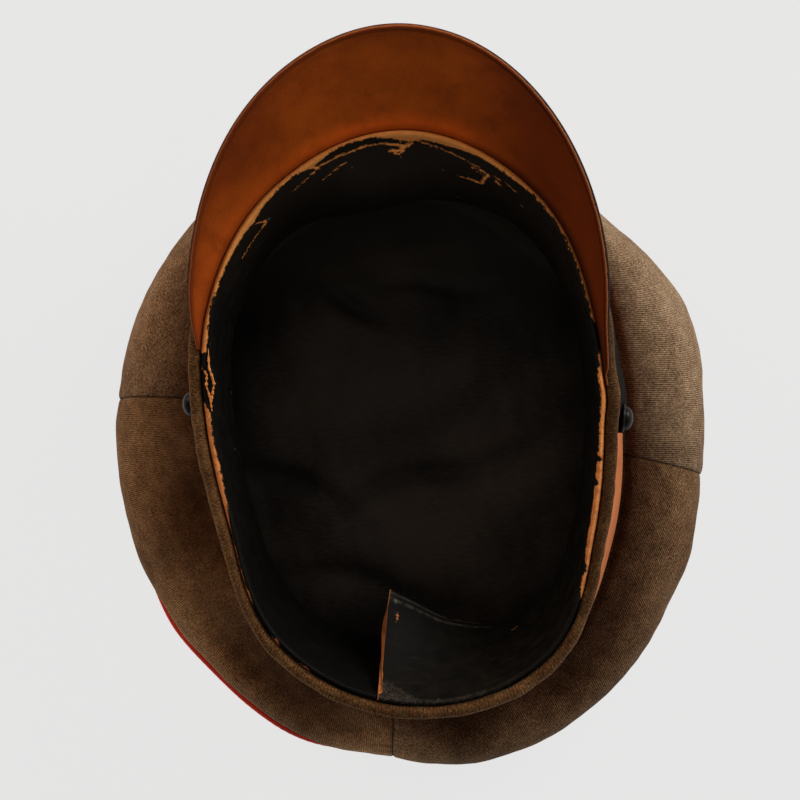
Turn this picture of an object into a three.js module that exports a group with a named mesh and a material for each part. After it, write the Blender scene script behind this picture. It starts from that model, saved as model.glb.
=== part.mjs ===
// A visor cap that lies upside down on its flat crown.
//
// Millimetres. +Z is up, towards the opening, and the peak points towards -Y. The origin is on
// the crown's flat top, straight below the middle of the opening. Every piece but the buttons is
// a section carried round the head: a closed outline of (reach, height) points, reach being the
// distance from the upright axis, given for each bearing. A bearing is in degrees, 0 at the middle
// of the peak, growing towards the wearer's left (-X).
import * as THREE from 'three';
import { mergeVertices } from 'three/addons/utils/BufferGeometryUtils.js';

// ---------------------------------------------------------------- driving sizes
const clearance = 0.3;          // left between neighbouring pieces
const rimMiddle = 85;           // height of the rim above the floor, halfway along the head
const rimPitch = 7;             // the rim stands this much higher at the front, and lower at the back
const bandTall = 45;            // rim to the seam where the crown begins
const bandWall = 2.6;
const bandProud = 0.5;          // the band's top stands this far outside the welt's middle
const weltRadius = 2.4;         // cloth roll round the rim
const weltTuck = 1.8;           // how far the peak's root presses the welt down
const crownWall = 1.8;
const crownWidest = 17;         // height of the crown's widest line
const topWall = 2;
const pipingRadius = 1.5;
const pipingHeight = 4.4;
const topCurl = 15;             // width of the top's edge, which rises to the piping
const liningWall = 1;
const leather = 1.3;            // sweatband
const sweatbandTall = 46;
const peakPly = 0.9;            // each of the peak's two layers
const strapWide = 13;
const strapThick = 1.4;
const strapOff = 0.6;           // between the strap and the band's curve
const buttonAcross = 11;
const buttonTall = 4.3;

// The oval of the head and the outline of the crown, one row for each twelfth of a turn:
// seam is the reach of the seam round the rim, flare is how far the foot of the band stands
// outside its top, and crown is the reach of the crown's widest line.
const stations = [
  { at: 0, seam: 107, flare: 0, crown: 116 },
  { at: 30, seam: 96, flare: 1, crown: 108 },
  { at: 60, seam: 78.7, flare: 2, crown: 111.5 },
  { at: 90, seam: 71.8, flare: 4, crown: 111 },
  { at: 120, seam: 79, flare: 5, crown: 117 },
  { at: 150, seam: 100, flare: 1, crown: 128.3 },
  { at: 180, seam: 102.8, flare: 0, crown: 129.6 },
  { at: 210, seam: 94, flare: 0, crown: 124.8 },
  { at: 240, seam: 75.5, flare: 1, crown: 118.6 },
  { at: 270, seam: 73.6, flare: 1, crown: 116 },
  { at: 300, seam: 84.4, flare: 1, crown: 116 },
  { at: 330, seam: 98.8, flare: 1, crown: 116.5 },
];

// Where the crown's outline leaves that curve: each row pushes it out by push over about spread.
const outlineSwells = [
  { at: 45, push: -1.5, spread: 12 },
  { at: 105, push: -1.4, spread: 9 },
  { at: 167, push: 1.8, spread: 9 },
  { at: 188, push: -1.4, spread: 9 },
  { at: 318, push: -1, spread: 10 },
];

// Dents in the crown's side, each at a bearing and a fraction of the way from the widest line
// to the band, sunk by depth.
const dents = [
  { at: 137, along: 0.75, depth: 2.5, spread: 8 },
  { at: 152, along: 0.8, depth: 4, spread: 5 },
  { at: 172, along: 0.75, depth: 3, spread: 5 },
  { at: 193, along: 0.6, depth: 2.5, spread: 7 },
  { at: 216, along: 0.62, depth: 5, spread: 9 },
  { at: 250, along: 0.8, depth: 3.5, spread: 8 },
  { at: 300, along: 0.7, depth: 2.5, spread: 9 },
];

const dentTall = 0.16;          // a dent's spread up the side, as a fraction of the way
const dentFade = 0.15;          // the last fraction of the way, over which dents fade out

// The seams between the crown's four side panels, and the panel that begins at each.
const panels = [
  { from: 6, to: 99, name: 'crown_panel_front_left' },
  { from: 99, to: 185, name: 'crown_panel_back_left' },
  { from: 185, to: 276, name: 'crown_panel_back_right' },
  { from: 276, to: 366, name: 'crown_panel_front_right' },
];

// The piping shows past the crown's side only round here.
const pipingShows = { at: 220, out: 4.6, spread: 15, hidden: -2.6 };

// The sweatband is one strip whose ends lap at the back. Its bearing runs from the upper end,
// over the front, to the lower end, and lean is how far the free edge tips in from the rim.
const sweatbandEnds = { upper: 186.5, butt: -173, lower: -182 };
const rimFold = { wide: 2.8, tall: 3.2, corner: 0.9, below: 0 };
const plainEnd = { wide: leather, tall: 0.6, corner: 0.2, below: 4.6 };
const sweatbandLean = [
  { at: 186.5, lean: 38 },
  { at: 172, lean: 28 },
  { at: 152, lean: 14 },
  { at: 125, lean: 6 },
  { at: 90, lean: 4 },
  { at: 55, lean: 5 },
  { at: 25, lean: 10 },
  { at: -8, lean: 20 },
  { at: -30, lean: 9 },
  { at: -60, lean: 4 },
  { at: -90, lean: 3 },
  { at: -124, lean: 3 },
  { at: -158, lean: 12 },
  { at: -173, lean: 19 },
  { at: -182, lean: 17 },
];

// The peak's free edge is part of an ellipse in plan, and its slope steepens towards its corners.
const peak = {
  middle: 3.4, halfSpan: 74.9,
  sideways: 2.5, forwards: 45, halfWidth: 74.9, halfLength: 96.8,
  slope: 36, cornerSlope: 50, tuck: 6.5, bow: 1.6, binding: 1.5,
};

// The lining leaves the band below the rim, and bellies out under the crown's side: out is a
// fraction of the belly, reached at a depth below the band's foot.
const lining = { belowRim: 12, bellyShare: 0.4, bellyShy: 20, floorCorner: 6 };
const liningBelly = [
  { below: 2.6, out: 0 },
  { below: 11, out: 0.4 },
  { below: 20, out: 1 },
];

// Broad folds in the slack lining: a ridge at x, y, turned by turn degrees from +X.
const liningFolds = [
  { x: 30, y: 26, turn: 14, long: 48, wide: 9, high: 9 },
  { x: -28, y: 8, turn: -38, long: 50, wide: 13, high: 8 },
  { x: 8, y: -38, turn: 8, long: 46, wide: 10, high: 6 },
  { x: -30, y: 52, turn: -30, long: 30, wide: 12, high: 6 },
];

const buttons = [
  { name: 'button_left', bearing: 88.2 },
  { name: 'button_right', bearing: -84.6 },
];

// ---------------------------------------------------------------- curves round the head
const radians = THREE.MathUtils.degToRad;
const stationStep = 360 / stations.length;

// A smooth closed curve through one column of the stations (Catmull-Rom).
function round(column, bearing) {
  const place = (((bearing % 360) + 360) % 360) / stationStep;
  const k = Math.floor(place);
  const t = place - k;
  const [a, b, c, d] = [-1, 0, 1, 2].map((step) => {
    return stations[(k + step + stations.length) % stations.length][column];
  });
  return b + 0.5 * t * (c - a + t * (2 * a - 5 * b + 4 * c - d + t * (3 * (b - c) + d - a)));
}

// The turn from one bearing to another, between -180 and 180.
const turnBetween = (from, to) => ((((to - from) % 360) + 540) % 360) - 180;

// 1 at the middle of a swell, falling off as a bell.
const bell = (distance, spread) => Math.exp(-0.5 * (distance / spread) ** 2);

const smooth = (t) => {
  const u = Math.min(1, Math.max(0, t));
  return u * u * (3 - 2 * u);
};

const seam = (bearing) => round('seam', bearing);
const rim = (bearing) => rimMiddle + rimPitch * Math.cos(radians(bearing));

function crownReach(bearing) {
  return outlineSwells.reduce((reach, swell) => {
    return reach + swell.push * bell(turnBetween(swell.at, bearing), swell.spread);
  }, round('crown', bearing));
}

// 1 along the peak, easing to 0 past its corners, where the welt comes in against the sweatband.
function alongPeak(bearing) {
  const past = Math.abs(turnBetween(peak.middle, bearing)) - peak.halfSpan - 1;
  return 1 - smooth(past / 9);
}

const peakStack = 2 * peakPly + clearance;
const weltReach = (bearing) => {
  return seam(bearing) + weltRadius + 0.1 + alongPeak(bearing) * (peakStack + clearance);
};
const weltHeight = (bearing) => rim(bearing) - weltRadius - weltTuck * alongPeak(bearing);

const bandTop = (bearing) => weltHeight(bearing) - weltRadius - clearance;
const bandFoot = (bearing) => rim(bearing) - bandTall;

// Reach of the band's outer face at a height.
function bandFace(bearing, height) {
  const down = (bandTop(bearing) - height) / (bandTop(bearing) - bandFoot(bearing));
  return weltReach(bearing) + bandProud + round('flare', bearing) * down;
}

// The point at a bearing, a reach and a height.
function placed(bearing, reach, height) {
  const turn = radians(bearing);
  return new THREE.Vector3(-Math.sin(turn) * reach, -Math.cos(turn) * reach, height);
}

// The level direction that the band's outer face looks in.
function facing(bearing, height) {
  const [before, after] = [-2, 2].map((step) => {
    return placed(bearing + step, bandFace(bearing + step, height), height);
  });
  const run = after.sub(before).normalize();
  return new THREE.Vector3(-run.y, run.x, 0);
}

const pipingReach = (bearing) => {
  const shown = bell(turnBetween(pipingShows.at, bearing), pipingShows.spread);
  return crownReach(bearing) + pipingShows.hidden + pipingShows.out * shown;
};

// ---------------------------------------------------------------- sections
// A wall's outline: a line of [reach, height] points, and the same line set off by thickness to
// the right of its run.
function wall(line, thickness) {
  const offset = line.map(([r, z], k) => {
    const [r0, z0] = line[Math.max(0, k - 1)];
    const [r1, z1] = line[Math.min(line.length - 1, k + 1)];
    const length = Math.hypot(r1 - r0, z1 - z0);
    return [r + (thickness * (z1 - z0)) / length, z - (thickness * (r1 - r0)) / length];
  });
  return [...line, ...offset.reverse()];
}

// A round section of so many corners.
function disc(reach, height, radius, corners = 8) {
  return Array.from({ length: corners }, (_, k) => {
    const turn = (2 * Math.PI * (k + 0.5)) / corners;
    return [reach + radius * Math.cos(turn), height + radius * Math.sin(turn)];
  });
}

function crownTopSection(bearing) {
  const edge = pipingReach(bearing) - pipingRadius - 1.5 * clearance;
  const flat = edge - topCurl;
  const underside = [
    [0, 0], [flat / 2, 0], [flat, 0], [edge - topCurl * 0.4, pipingHeight / 4],
    [edge, pipingHeight - topWall / 2],
  ];
  const upperside = underside.map(([reach, height]) => [reach, height + topWall]);
  return [...underside, ...upperside.reverse()];
}

const pipingSection = (bearing) => {
  return disc(pipingReach(bearing), pipingHeight, pipingRadius, 6);
};

// The crown's side: up from the piping to the widest line, then a quarter of an oval over to
// the foot of the band, sunk where there are dents. They fade out before the foot.
function panelSection(bearing) {
  const widest = crownReach(bearing);
  const start = pipingReach(bearing) - 0.4;
  const low = pipingHeight + pipingRadius + clearance;
  const foot = bandFace(bearing, bandFoot(bearing)) - bandWall * 0.6;
  const high = bandFoot(bearing) - clearance;
  const line = [[start, low], [start + (widest - start) * 0.7, (low + crownWidest) / 2]];
  const steps = 6;
  for (let k = 0; k <= steps; k += 1) {
    const along = k / steps;
    const turn = (along * Math.PI) / 2;
    const sunk = dents.reduce((sum, dent) => {
      return sum + dent.depth * bell(turnBetween(dent.at, bearing), dent.spread)
        * bell(along - dent.along, dentTall);
    }, 0) * smooth((1 - along) / dentFade);
    line.push([
      foot + (widest - foot) * Math.cos(turn) - sunk * 0.4 * Math.cos(turn),
      crownWidest + (high - crownWidest) * Math.sin(turn) - sunk,
    ]);
  }
  return wall(line.reverse(), crownWall);
}

function bandSection(bearing) {
  const heights = [0, 1 / 3, 2 / 3, 1].map((t) => {
    return THREE.MathUtils.lerp(bandFoot(bearing), bandTop(bearing), t);
  });
  const line = heights.map((height) => [bandFace(bearing, height), height]);
  return wall(line, -bandWall);
}

const weltSection = (bearing) => disc(weltReach(bearing), weltHeight(bearing), weltRadius);

// How far the sweatband's free edge leans in at a bearing, eased between the rows.
function leanAt(bearing) {
  const next = Math.max(1, sweatbandLean.findIndex((row) => row.at <= bearing));
  const [from, to] = [sweatbandLean[next - 1], sweatbandLean[next]];
  return THREE.MathUtils.lerp(from.lean, to.lean, smooth((from.at - bearing) / (from.at - to.at)));
}

// A rounded fold at the rim, and a leaf that hangs from it and leans in. Past the butt at the back
// the lower end has no fold and starts below the upper end's.
function sweatbandSection(bearing) {
  const tucked = bearing < sweatbandEnds.butt;
  const outer = seam(bearing) - 0.4;
  const { wide, tall, corner, below } = tucked ? plainEnd : rimFold;
  const top = rim(bearing) - below;
  const fold = [
    [outer, top - tall], [outer, top - corner], [outer - corner, top],
    [outer - wide + corner, top], [outer - wide, top - corner],
  ];
  const leafLong = sweatbandTall - rimFold.tall;
  const tilt = Math.asin(leanAt(bearing) / leafLong);
  const leaf = [[outer - wide, top - tall]];
  for (const share of [0.7, 1, 1.1, 1.2]) {
    const [reach, height] = leaf.at(-1);
    const run = leafLong / 4;
    leaf.push([
      reach - run * Math.sin(tilt * share),
      height - run * Math.cos(tilt * share),
    ]);
  }
  const back = wall(leaf, -leather).slice(leaf.length);
  return [...fold, ...leaf, ...back];
}

// How high the lining's folds stand at a place on its floor.
function foldHeight(x, y) {
  return liningFolds.reduce((height, fold) => {
    const [c, s] = [Math.cos(radians(fold.turn)), Math.sin(radians(fold.turn))];
    const along = (x - fold.x) * c + (y - fold.y) * s;
    const across = (y - fold.y) * c - (x - fold.x) * s;
    return height + fold.high * bell(along, fold.long / 2) * bell(across, fold.wide);
  }, 0);
}

// How far the lining's side bellies out past the foot of the band, and where its floor begins.
function liningShape(bearing) {
  const foot = bandFoot(bearing);
  const behind = (height) => [bandFace(bearing, height) - bandWall - 0.8, height];
  const hung = behind(foot)[0] - clearance;
  const wide = hung + (crownReach(bearing) - hung) * lining.bellyShare;
  const out = Math.min(wide, pipingReach(bearing) - lining.bellyShy);
  return { foot, behind, hung, out, floor: topWall + clearance + 0.4 };
}

// The lining's side: down inside the band, then out under the crown's side.
function liningSideSection(bearing) {
  const { foot, behind, hung, out, floor } = liningShape(bearing);
  const line = [
    behind(rim(bearing) - lining.belowRim), behind(foot + 5),
    ...liningBelly.map((row) => [hung + (out - hung) * row.out, foot - row.below]),
    [out, floor + lining.floorCorner + clearance],
  ];
  return wall(line, liningWall);
}

// The lining's tip: a slack disc across the crown's top, turned up at its edge to meet the side.
function liningTipSection(bearing) {
  const { out, floor } = liningShape(bearing);
  const spread = out - lining.floorCorner;
  const edge = floor + lining.floorCorner;
  const line = [[out, edge], [out, edge - 1]];
  for (const share of [1, 0.75, 0.5, 0.25, 0]) {
    const { x, y } = placed(bearing, spread * share, floor);
    const lift = foldHeight(x, y) * smooth((1.1 - share) / 0.3);
    line.push([spread * share, floor + lift]);
  }
  const inside = wall(line, liningWall).slice(line.length);
  inside[0] = [0, line.at(-1)[1] + liningWall];
  return [...line, ...inside];
}

// Reach of the peak's free edge: where the bearing's ray leaves the ellipse.
function peakEdge(bearing) {
  const [sine, cosine] = [Math.sin(radians(bearing)), Math.cos(radians(bearing))];
  const a = (sine / peak.halfWidth) ** 2 + (cosine / peak.halfLength) ** 2;
  const b = (sine * -peak.sideways) / peak.halfWidth ** 2
    + (cosine * peak.forwards) / peak.halfLength ** 2;
  const c = (peak.sideways / peak.halfWidth) ** 2 + (peak.forwards / peak.halfLength) ** 2 - 1;
  return Math.max((b + Math.sqrt(b * b - a * c)) / a, seam(bearing) + 3.2);
}

// The peak's inner face: up between band and sweatband, then out along the slope, bowed a little,
// to a distance short of the free edge.
function peakLine(bearing, short) {
  const corner = Math.abs(turnBetween(peak.middle, bearing)) / peak.halfSpan;
  const slope = radians(THREE.MathUtils.lerp(peak.slope, peak.cornerSlope, corner));
  const root = [seam(bearing) + 0.8, rim(bearing) - 0.6];
  const long = (peakEdge(bearing) - root[0]) / Math.cos(slope);
  const line = [[seam(bearing), root[1] - peak.tuck], [seam(bearing), root[1] - 1.4]];
  const steps = 4;
  for (let k = 0; k <= steps; k += 1) {
    const run = ((long - short) * k) / steps;
    const bow = peak.bow * Math.sin((Math.PI * run) / long) * smooth(long / 20);
    line.push([
      root[0] + run * Math.cos(slope) + bow * Math.sin(slope),
      root[1] + run * Math.sin(slope) - bow * Math.cos(slope),
    ]);
  }
  return line;
}

const peakUnderSection = (bearing) => {
  return wall(peakLine(bearing, peak.binding + clearance), peakPly);
};

// The outer layer lies against the under layer, a clearance away.
function peakUpperSection(bearing) {
  const line = peakLine(bearing, peak.binding + clearance);
  const face = wall(line, peakPly + clearance).slice(line.length).reverse();
  return wall(face, peakPly);
}

// A bead along the free edge, as tall as both layers.
function peakBindingSection(bearing) {
  const line = peakLine(bearing, peak.binding);
  const [end, before] = [line.at(-1), line.at(-2)];
  const length = Math.hypot(end[0] - before[0], end[1] - before[1]);
  const [outR, outZ] = [(end[0] - before[0]) / length, (end[1] - before[1]) / length];
  const outline = [[0, 0.2], [0.7, 0.2], [1.5, -0.5], [1.5, -1.6], [0.7, -2.3], [0, -2.3]];
  return outline.map(([out, up]) => [
    end[0] + out * outR - up * outZ,
    end[1] + out * outZ + up * outR,
  ]);
}

const strapHeight = (bearing) => bandTop(bearing) - strapWide / 2 - 1;
const strapEnds = { left: buttons[0].bearing + 6, right: buttons[1].bearing - 6 };

// The chin strap lies on the band beside the peak, with its ends narrowed under the buttons.
function strapSection(bearing) {
  const end = smooth((strapEnds.left - bearing) / 5) * smooth((bearing - strapEnds.right) / 5);
  const half = (strapWide / 2) * (0.45 + 0.55 * end);
  const middle = strapHeight(bearing);
  const edges = [-half, -half + 1, half - 1, half];
  const line = edges.map((up, k) => {
    const lowered = k === 0 || k === edges.length - 1 ? 0.5 : 0;
    return [bandFace(bearing, middle + up) + strapOff + strapThick - lowered, middle + up];
  });
  const back = edges.map((up) => [bandFace(bearing, middle + up) + strapOff, middle + up]);
  return [...line, ...back.reverse()];
}

// ---------------------------------------------------------------- making solids
// Bearings from one to another in even steps; a full turn leaves its last one out.
function bearings(from, to, count) {
  const steps = Math.abs(to - from) === 360 ? count : count + 1;
  return Array.from({ length: steps }, (_, k) => from + ((to - from) * k) / count);
}

// Six times the volume inside a closed set of triangles, negative when it is inside out.
function signedVolume(positions, index) {
  const [a, b, c] = [new THREE.Vector3(), new THREE.Vector3(), new THREE.Vector3()];
  let sum = 0;
  for (let k = 0; k < index.length; k += 3) {
    a.fromBufferAttribute(positions, index[k]);
    b.fromBufferAttribute(positions, index[k + 1]);
    c.fromBufferAttribute(positions, index[k + 2]);
    sum += a.dot(b.cross(c));
  }
  return sum;
}

// Carries a section through a list of bearings. A round trip closes on itself; an open one gets
// an end face of quads between each outline point and its partner across the wall.
function carried(section, path) {
  const outlines = path.map((bearing) => {
    return section(bearing).map(([reach, height]) => placed(bearing, reach, height).toArray());
  });
  const points = outlines[0].length;
  const full = Math.abs(Math.abs(path.at(-1) - path[0]) - 360) < 360 / path.length + 1e-6;
  const index = [];
  const quad = (a, b, c, d) => index.push(a, b, c, a, c, d);
  const laps = full ? path.length : path.length - 1;
  for (let i = 0; i < laps; i += 1) {
    const [here, there] = [i * points, ((i + 1) % path.length) * points];
    for (let j = 0; j < points; j += 1) {
      const next = (j + 1) % points;
      quad(here + j, here + next, there + next, there + j);
    }
  }
  if (!full) {
    const last = (path.length - 1) * points;
    for (let j = 0; j < points / 2 - 1; j += 1) {
      const across = points - 1 - j;
      quad(j, across, across - 1, j + 1);
      quad(last + j, last + j + 1, last + across - 1, last + across);
    }
  }
  return closedGeometry(outlines.flat(2), index);
}

// One closed body: shared corners merged, flat triangles dropped, faces turned outwards.
function closedGeometry(coordinates, index) {
  const loose = new THREE.BufferGeometry();
  loose.setAttribute('position', new THREE.Float32BufferAttribute(coordinates, 3));
  loose.setIndex(index);
  const merged = mergeVertices(loose, 1e-3);
  const kept = [];
  const all = merged.index.array;
  for (let k = 0; k < all.length; k += 3) {
    const [a, b, c] = all.slice(k, k + 3);
    if (a !== b && b !== c && c !== a) kept.push(a, b, c);
  }
  const outwards = signedVolume(merged.attributes.position, kept) > 0;
  merged.setIndex(outwards ? kept : kept.reverse());
  merged.computeVertexNormals();
  return merged;
}

function piece(name, geometry, [color, roughness]) {
  const material = new THREE.MeshStandardMaterial({ color, roughness, metalness: 0 });
  const mesh = new THREE.Mesh(geometry, material);
  mesh.name = name;
  return mesh;
}

// A domed button with a rounded rim, its flat back on the strap and its axis level.
function buttonGeometry() {
  const radius = buttonAcross / 2;
  const profile = [
    [0, 0], [radius * 0.82, 0], [radius, buttonTall * 0.2], [radius * 0.97, buttonTall * 0.42],
    [radius * 0.8, buttonTall * 0.72], [radius * 0.45, buttonTall * 0.94], [0, buttonTall],
  ].map(([r, h]) => new THREE.Vector2(r, h));
  const geometry = new THREE.LatheGeometry(profile, 16);
  return closedGeometry([...geometry.attributes.position.array], [...geometry.index.array]);
}

// ---------------------------------------------------------------- colours: [colour, roughness]
const finishes = {
  wool: ['#5f4833', 0.95],
  bandCloth: ['#8c5f44', 0.7],
  piping: ['#a81f14', 0.8],
  sweatLeather: ['#171513', 0.35],
  liningCloth: ['#12110f', 0.6],
  peakUnder: ['#823610', 0.5],
  lacquer: ['#120f0d', 0.15],
  strapLeather: ['#191614', 0.3],
  buttonLacquer: ['#0e0d0d', 0.12],
};

// ---------------------------------------------------------------- the cap
const cap = new THREE.Group();
const wholeTurn = (count) => bearings(0, 360, count);

const crown = new THREE.Group();
crown.add(piece('crown_top', carried(crownTopSection, wholeTurn(42)), finishes.wool));
crown.add(piece('crown_piping', carried(pipingSection, wholeTurn(48)), finishes.piping));
const seamGap = 0.12;           // degrees left at each end of a panel
for (const { from, to, name } of panels) {
  const path = bearings(from + seamGap, to - seamGap, 12);
  crown.add(piece(name, carried(panelSection, path), finishes.wool));
}

const band = new THREE.Group();
band.add(piece('band', carried(bandSection, wholeTurn(48)), finishes.bandCloth));
band.add(piece('rim_welt', carried(weltSection, wholeTurn(48)), finishes.wool));

const inside = new THREE.Group();
const { upper, butt, lower } = sweatbandEnds;
const sweatbandPath = [
  ...bearings(upper, 122, 10), ...bearings(115, -61, 24), ...bearings(-68, butt, 14),
  ...bearings(butt - 0.3, lower, 2),
];
inside.add(piece('sweatband', carried(sweatbandSection, sweatbandPath), finishes.sweatLeather));
inside.add(piece('lining_side', carried(liningSideSection, wholeTurn(36)), finishes.liningCloth));
inside.add(piece('lining_tip', carried(liningTipSection, wholeTurn(36)), finishes.liningCloth));

const visor = new THREE.Group();
const peakPath = bearings(peak.middle - peak.halfSpan, peak.middle + peak.halfSpan, 26);
visor.add(piece('peak_underside', carried(peakUnderSection, peakPath), finishes.peakUnder));
visor.add(piece('peak_upper', carried(peakUpperSection, peakPath), finishes.lacquer));
visor.add(piece('peak_edge_binding', carried(peakBindingSection, peakPath), finishes.lacquer));

const strap = new THREE.Group();
const strapPath = bearings(strapEnds.left, strapEnds.right, 36);
strap.add(piece('chin_strap', carried(strapSection, strapPath), finishes.strapLeather));
for (const { name, bearing } of buttons) {
  const button = piece(name, buttonGeometry(), finishes.buttonLacquer);
  const height = strapHeight(bearing);
  const reach = bandFace(bearing, height) + strapOff + strapThick;
  const outwards = facing(bearing, height);
  button.position.copy(placed(bearing, reach, height)).addScaledVector(outwards, 3 * clearance);
  button.quaternion.setFromUnitVectors(new THREE.Vector3(0, 1, 0), outwards);
  strap.add(button);
}

cap.add(crown, band, inside, visor, strap);
export default cap;
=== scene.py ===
"""The looks of a visor cap that lies upside down on its flat crown.

The frame gives every piece its place. Sizes below are in millimetres and bearings in degrees, and a
mesh is scaled to metres when it is made. A bearing is 0 at the middle of the peak (-Y) and grows
towards the wearer's left (-X). Most pieces are a section of (reach, height) points, reach being the
distance from the upright axis, worked out for many bearings at once and carried round the head.
"""
import math

import bmesh
import bpy
import numpy as np
from mathutils import Matrix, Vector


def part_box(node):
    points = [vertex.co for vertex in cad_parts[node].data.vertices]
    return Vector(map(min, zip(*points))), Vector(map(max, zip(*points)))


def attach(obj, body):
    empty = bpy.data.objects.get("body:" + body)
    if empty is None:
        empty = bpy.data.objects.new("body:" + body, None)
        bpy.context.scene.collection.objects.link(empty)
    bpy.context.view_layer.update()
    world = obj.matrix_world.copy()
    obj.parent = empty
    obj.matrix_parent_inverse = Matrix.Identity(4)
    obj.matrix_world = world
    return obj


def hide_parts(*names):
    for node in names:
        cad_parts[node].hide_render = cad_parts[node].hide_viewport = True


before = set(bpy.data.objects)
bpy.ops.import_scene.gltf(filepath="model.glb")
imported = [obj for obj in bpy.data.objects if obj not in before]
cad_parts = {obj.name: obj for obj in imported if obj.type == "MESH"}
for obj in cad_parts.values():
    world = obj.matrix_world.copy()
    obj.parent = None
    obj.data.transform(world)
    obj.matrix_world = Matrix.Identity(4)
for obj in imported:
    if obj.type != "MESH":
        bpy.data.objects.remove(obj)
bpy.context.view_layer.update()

MM = 0.001


def corner(node, side):
    """A corner of a frame node's box in millimetres: side 0 is the lowest, 1 the highest."""
    return np.array(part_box(node)[side]) / MM


# ---------------------------------------------------------------- driving sizes, from the frame
RIM_PITCH = 7
RIM_MIDDLE = corner("sweatband", 1)[2] - RIM_PITCH
BAND_TALL = 45
BAND_WALL = 2.6
BAND_PROUD = 0.5
WELT_RADIUS = 2.4
WELT_TUCK = 1.8
WELT_OFF = 0.1
WELT_FADE = 30
WELT_LEAD = 32
CROWN_WALL = 1.8
CROWN_WIDEST = 11
CROWN_SPARE = 0.2
TOP_WALL = 2
TOP_CURL = 15
PIPING_RADIUS = 1.5
PIPING_HEIGHT = 4.4
LINING_WALL = 0.6
LINING_OFF = 0.8
LEATHER = 1.3
SWEATBAND_TALL = 46
PEAK_PLY = 0.9
STRAP_WIDE = 13
STRAP_THICK = 1.4
STRAP_OFF = 0.6
GAP = 0.3
LINING_FLOOR = TOP_WALL + GAP + 0.4

# Every 30 degrees: reach of the seam round the rim, how far the band's foot stands outside its
# top, and reach of the crown's widest line.
STATIONS = {
    "seam": [107, 96, 78.7, 71.8, 79, 100, 102.8, 94, 75.5, 73.6, 84.4, 98.8],
    "flare": [0, 1, 2, 4, 5, 1, 0, 0, 1, 1, 1, 1],
    "crown": [116, 108, 111.5, 111, 117, 128.3, 129.6, 124.8, 118.6, 116, 116, 116.5],
}

# Bearing, push and spread of each swell in the seam round the rim, then in the crown's outline.
SEAM_SWELLS = [(82.3, 0.9, 4)]
SWELLS = [
    (45, -1.5, 12), (72, 1.4, 7), (105, -1.4, 9), (117, 1.0, 6), (167, 1.8, 9), (172, 1.1, 8),
    (188, -1.4, 9), (196, 1.9, 6), (219, -1.2, 6), (246, 0.9, 5), (318, -1, 10),
]

# Painted light and shade on the crown's cloth at each bearing: below 1 its colour is darkened, above 1 a
# little lightened; 1 is its usual shade.
PAINTED_LIGHT_BY_BEARING = {
    "at": [0, 60, 77, 96, 114, 130, 142, 160, 172, 188, 200, 212, 224, 242, 261, 279, 293, 308,
           320, 360],
    "fade": [1, 1.1, 1.1, 0.7, 0.62, 0.52, 0.45, 0.58, 0.5, 1.2, 0.5, 0.75, 1.2, 0.65, 0.95, 0.75, 1.1,
             0.95, 0.88, 1],
}

# Bearing, fraction of the way from the widest line to the band, depth and spread of each dent.
DENTS = [
    (137, 0.75, 2.5, 8), (152, 0.8, 4, 5), (172, 0.75, 3, 5), (193, 0.6, 2.5, 7),
    (216, 0.62, 5, 9), (250, 0.8, 3.5, 8), (300, 0.7, 2.5, 9),
]
DENT_TALL = 0.16
DENT_FADE = 0.15

# The crown's side panels: bearings of the seams at the widest line and at the band, the way the
# cloth's ribs lie (without one they follow the panel), its three tints and how its weave shows.
# The tints are partly painted light and shade: the front left panel's are the palest, the others' redder
# and the back left panel's the darkest.
PANELS = {
    "crown_panel_front_left": {
        "from": (6, 6), "to": (100.2, 98.2), "lie": 0,
        "tints": ((76, 54, 36), (142, 112, 84), (194, 166, 136)), "weave": {"ribs": 1.2, "fleck": 0.7}},
    "crown_panel_back_left": {
        "from": (100.2, 98.2), "to": (184, 184), "lie": 62,
        "tints": ((67, 43, 25), (134, 97, 65), (184, 147, 108)), "weave": {}},
    "crown_panel_back_right": {
        "from": (184, 184), "to": (274.6, 276.8), "lie": None,
        "tints": ((76, 47, 26), (146, 104, 68), (190, 150, 106)), "weave": {"ribs": 0.8, "fleck": 0.5}},
    "crown_panel_front_right": {
        "from": (274.6, 276.8), "to": (366, 366), "lie": 44,
        "tints": ((76, 50, 31), (140, 103, 71), (188, 152, 117)), "weave": {"ribs": 0.7}},
}

# Where the piping stands out past the crown and by how much; there the side panels swell a little
# and begin further in.
PIPING_SHOWS = {"from": 184, "to": 250, "out": 4.7, "ease": 22, "hidden": -2.6, "swell": 0.8,
                "under": 2}

# The sweatband's bearing runs from its upper end, over the front, to its lower end, which laps
# under the upper one at the back.
SWEAT_ENDS = {"upper": 186.5, "lower": -182}
FOLD = {"wide": 2.8, "tall": 3.2}
TUCKED = {"from": -173.3, "wide": LEATHER, "tall": 0.8, "below": 4.8}
DEGREE, END_DEGREE = 1.65, 1.6  # millimetres to a degree along the fold, and at its ends

# How far the sweatband's free edge leans in from the rim at each bearing.
LEAN = {
    "at": [-182, -173, -158, -124, -90, -60, -30, -8, 25, 55, 90, 125, 152, 172, 186.5],
    "lean": [17, 19, 12, 3, 3, 4, 10, 26, 11, 5, 4, 6, 14, 28, 38],
}

PEAK = {
    "middle": 4.4, "half_span": 74.6, "sideways": 2.5, "forwards": 45,
    "half_width": 74.9, "half_length": 96.8, "slope": 36, "corner_slope": 50,
    "tuck": 6.5, "bow": 1.9, "binding": 1.4,
}

# Bearing, push and spread of each place where the peak's edge leaves its ellipse.
PEAK_PUSHES = [(72, 2.3, 5), (75.5, 1.7, 2.5), (-62, 0.8, 8), (-14, -1.1, 9)]

BUTTONS = {"button_left": 88.2, "button_right": -84.6}
BUTTON_ACROSS = 11
BUTTON_TALL = 4.3


# ---------------------------------------------------------------- curves round the head
def smooth(t):
    """0 below 0, 1 above 1, and 3t^2 - 2t^3 between."""
    u = np.clip(t, 0, 1)
    return u * u * (3 - 2 * u)


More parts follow.
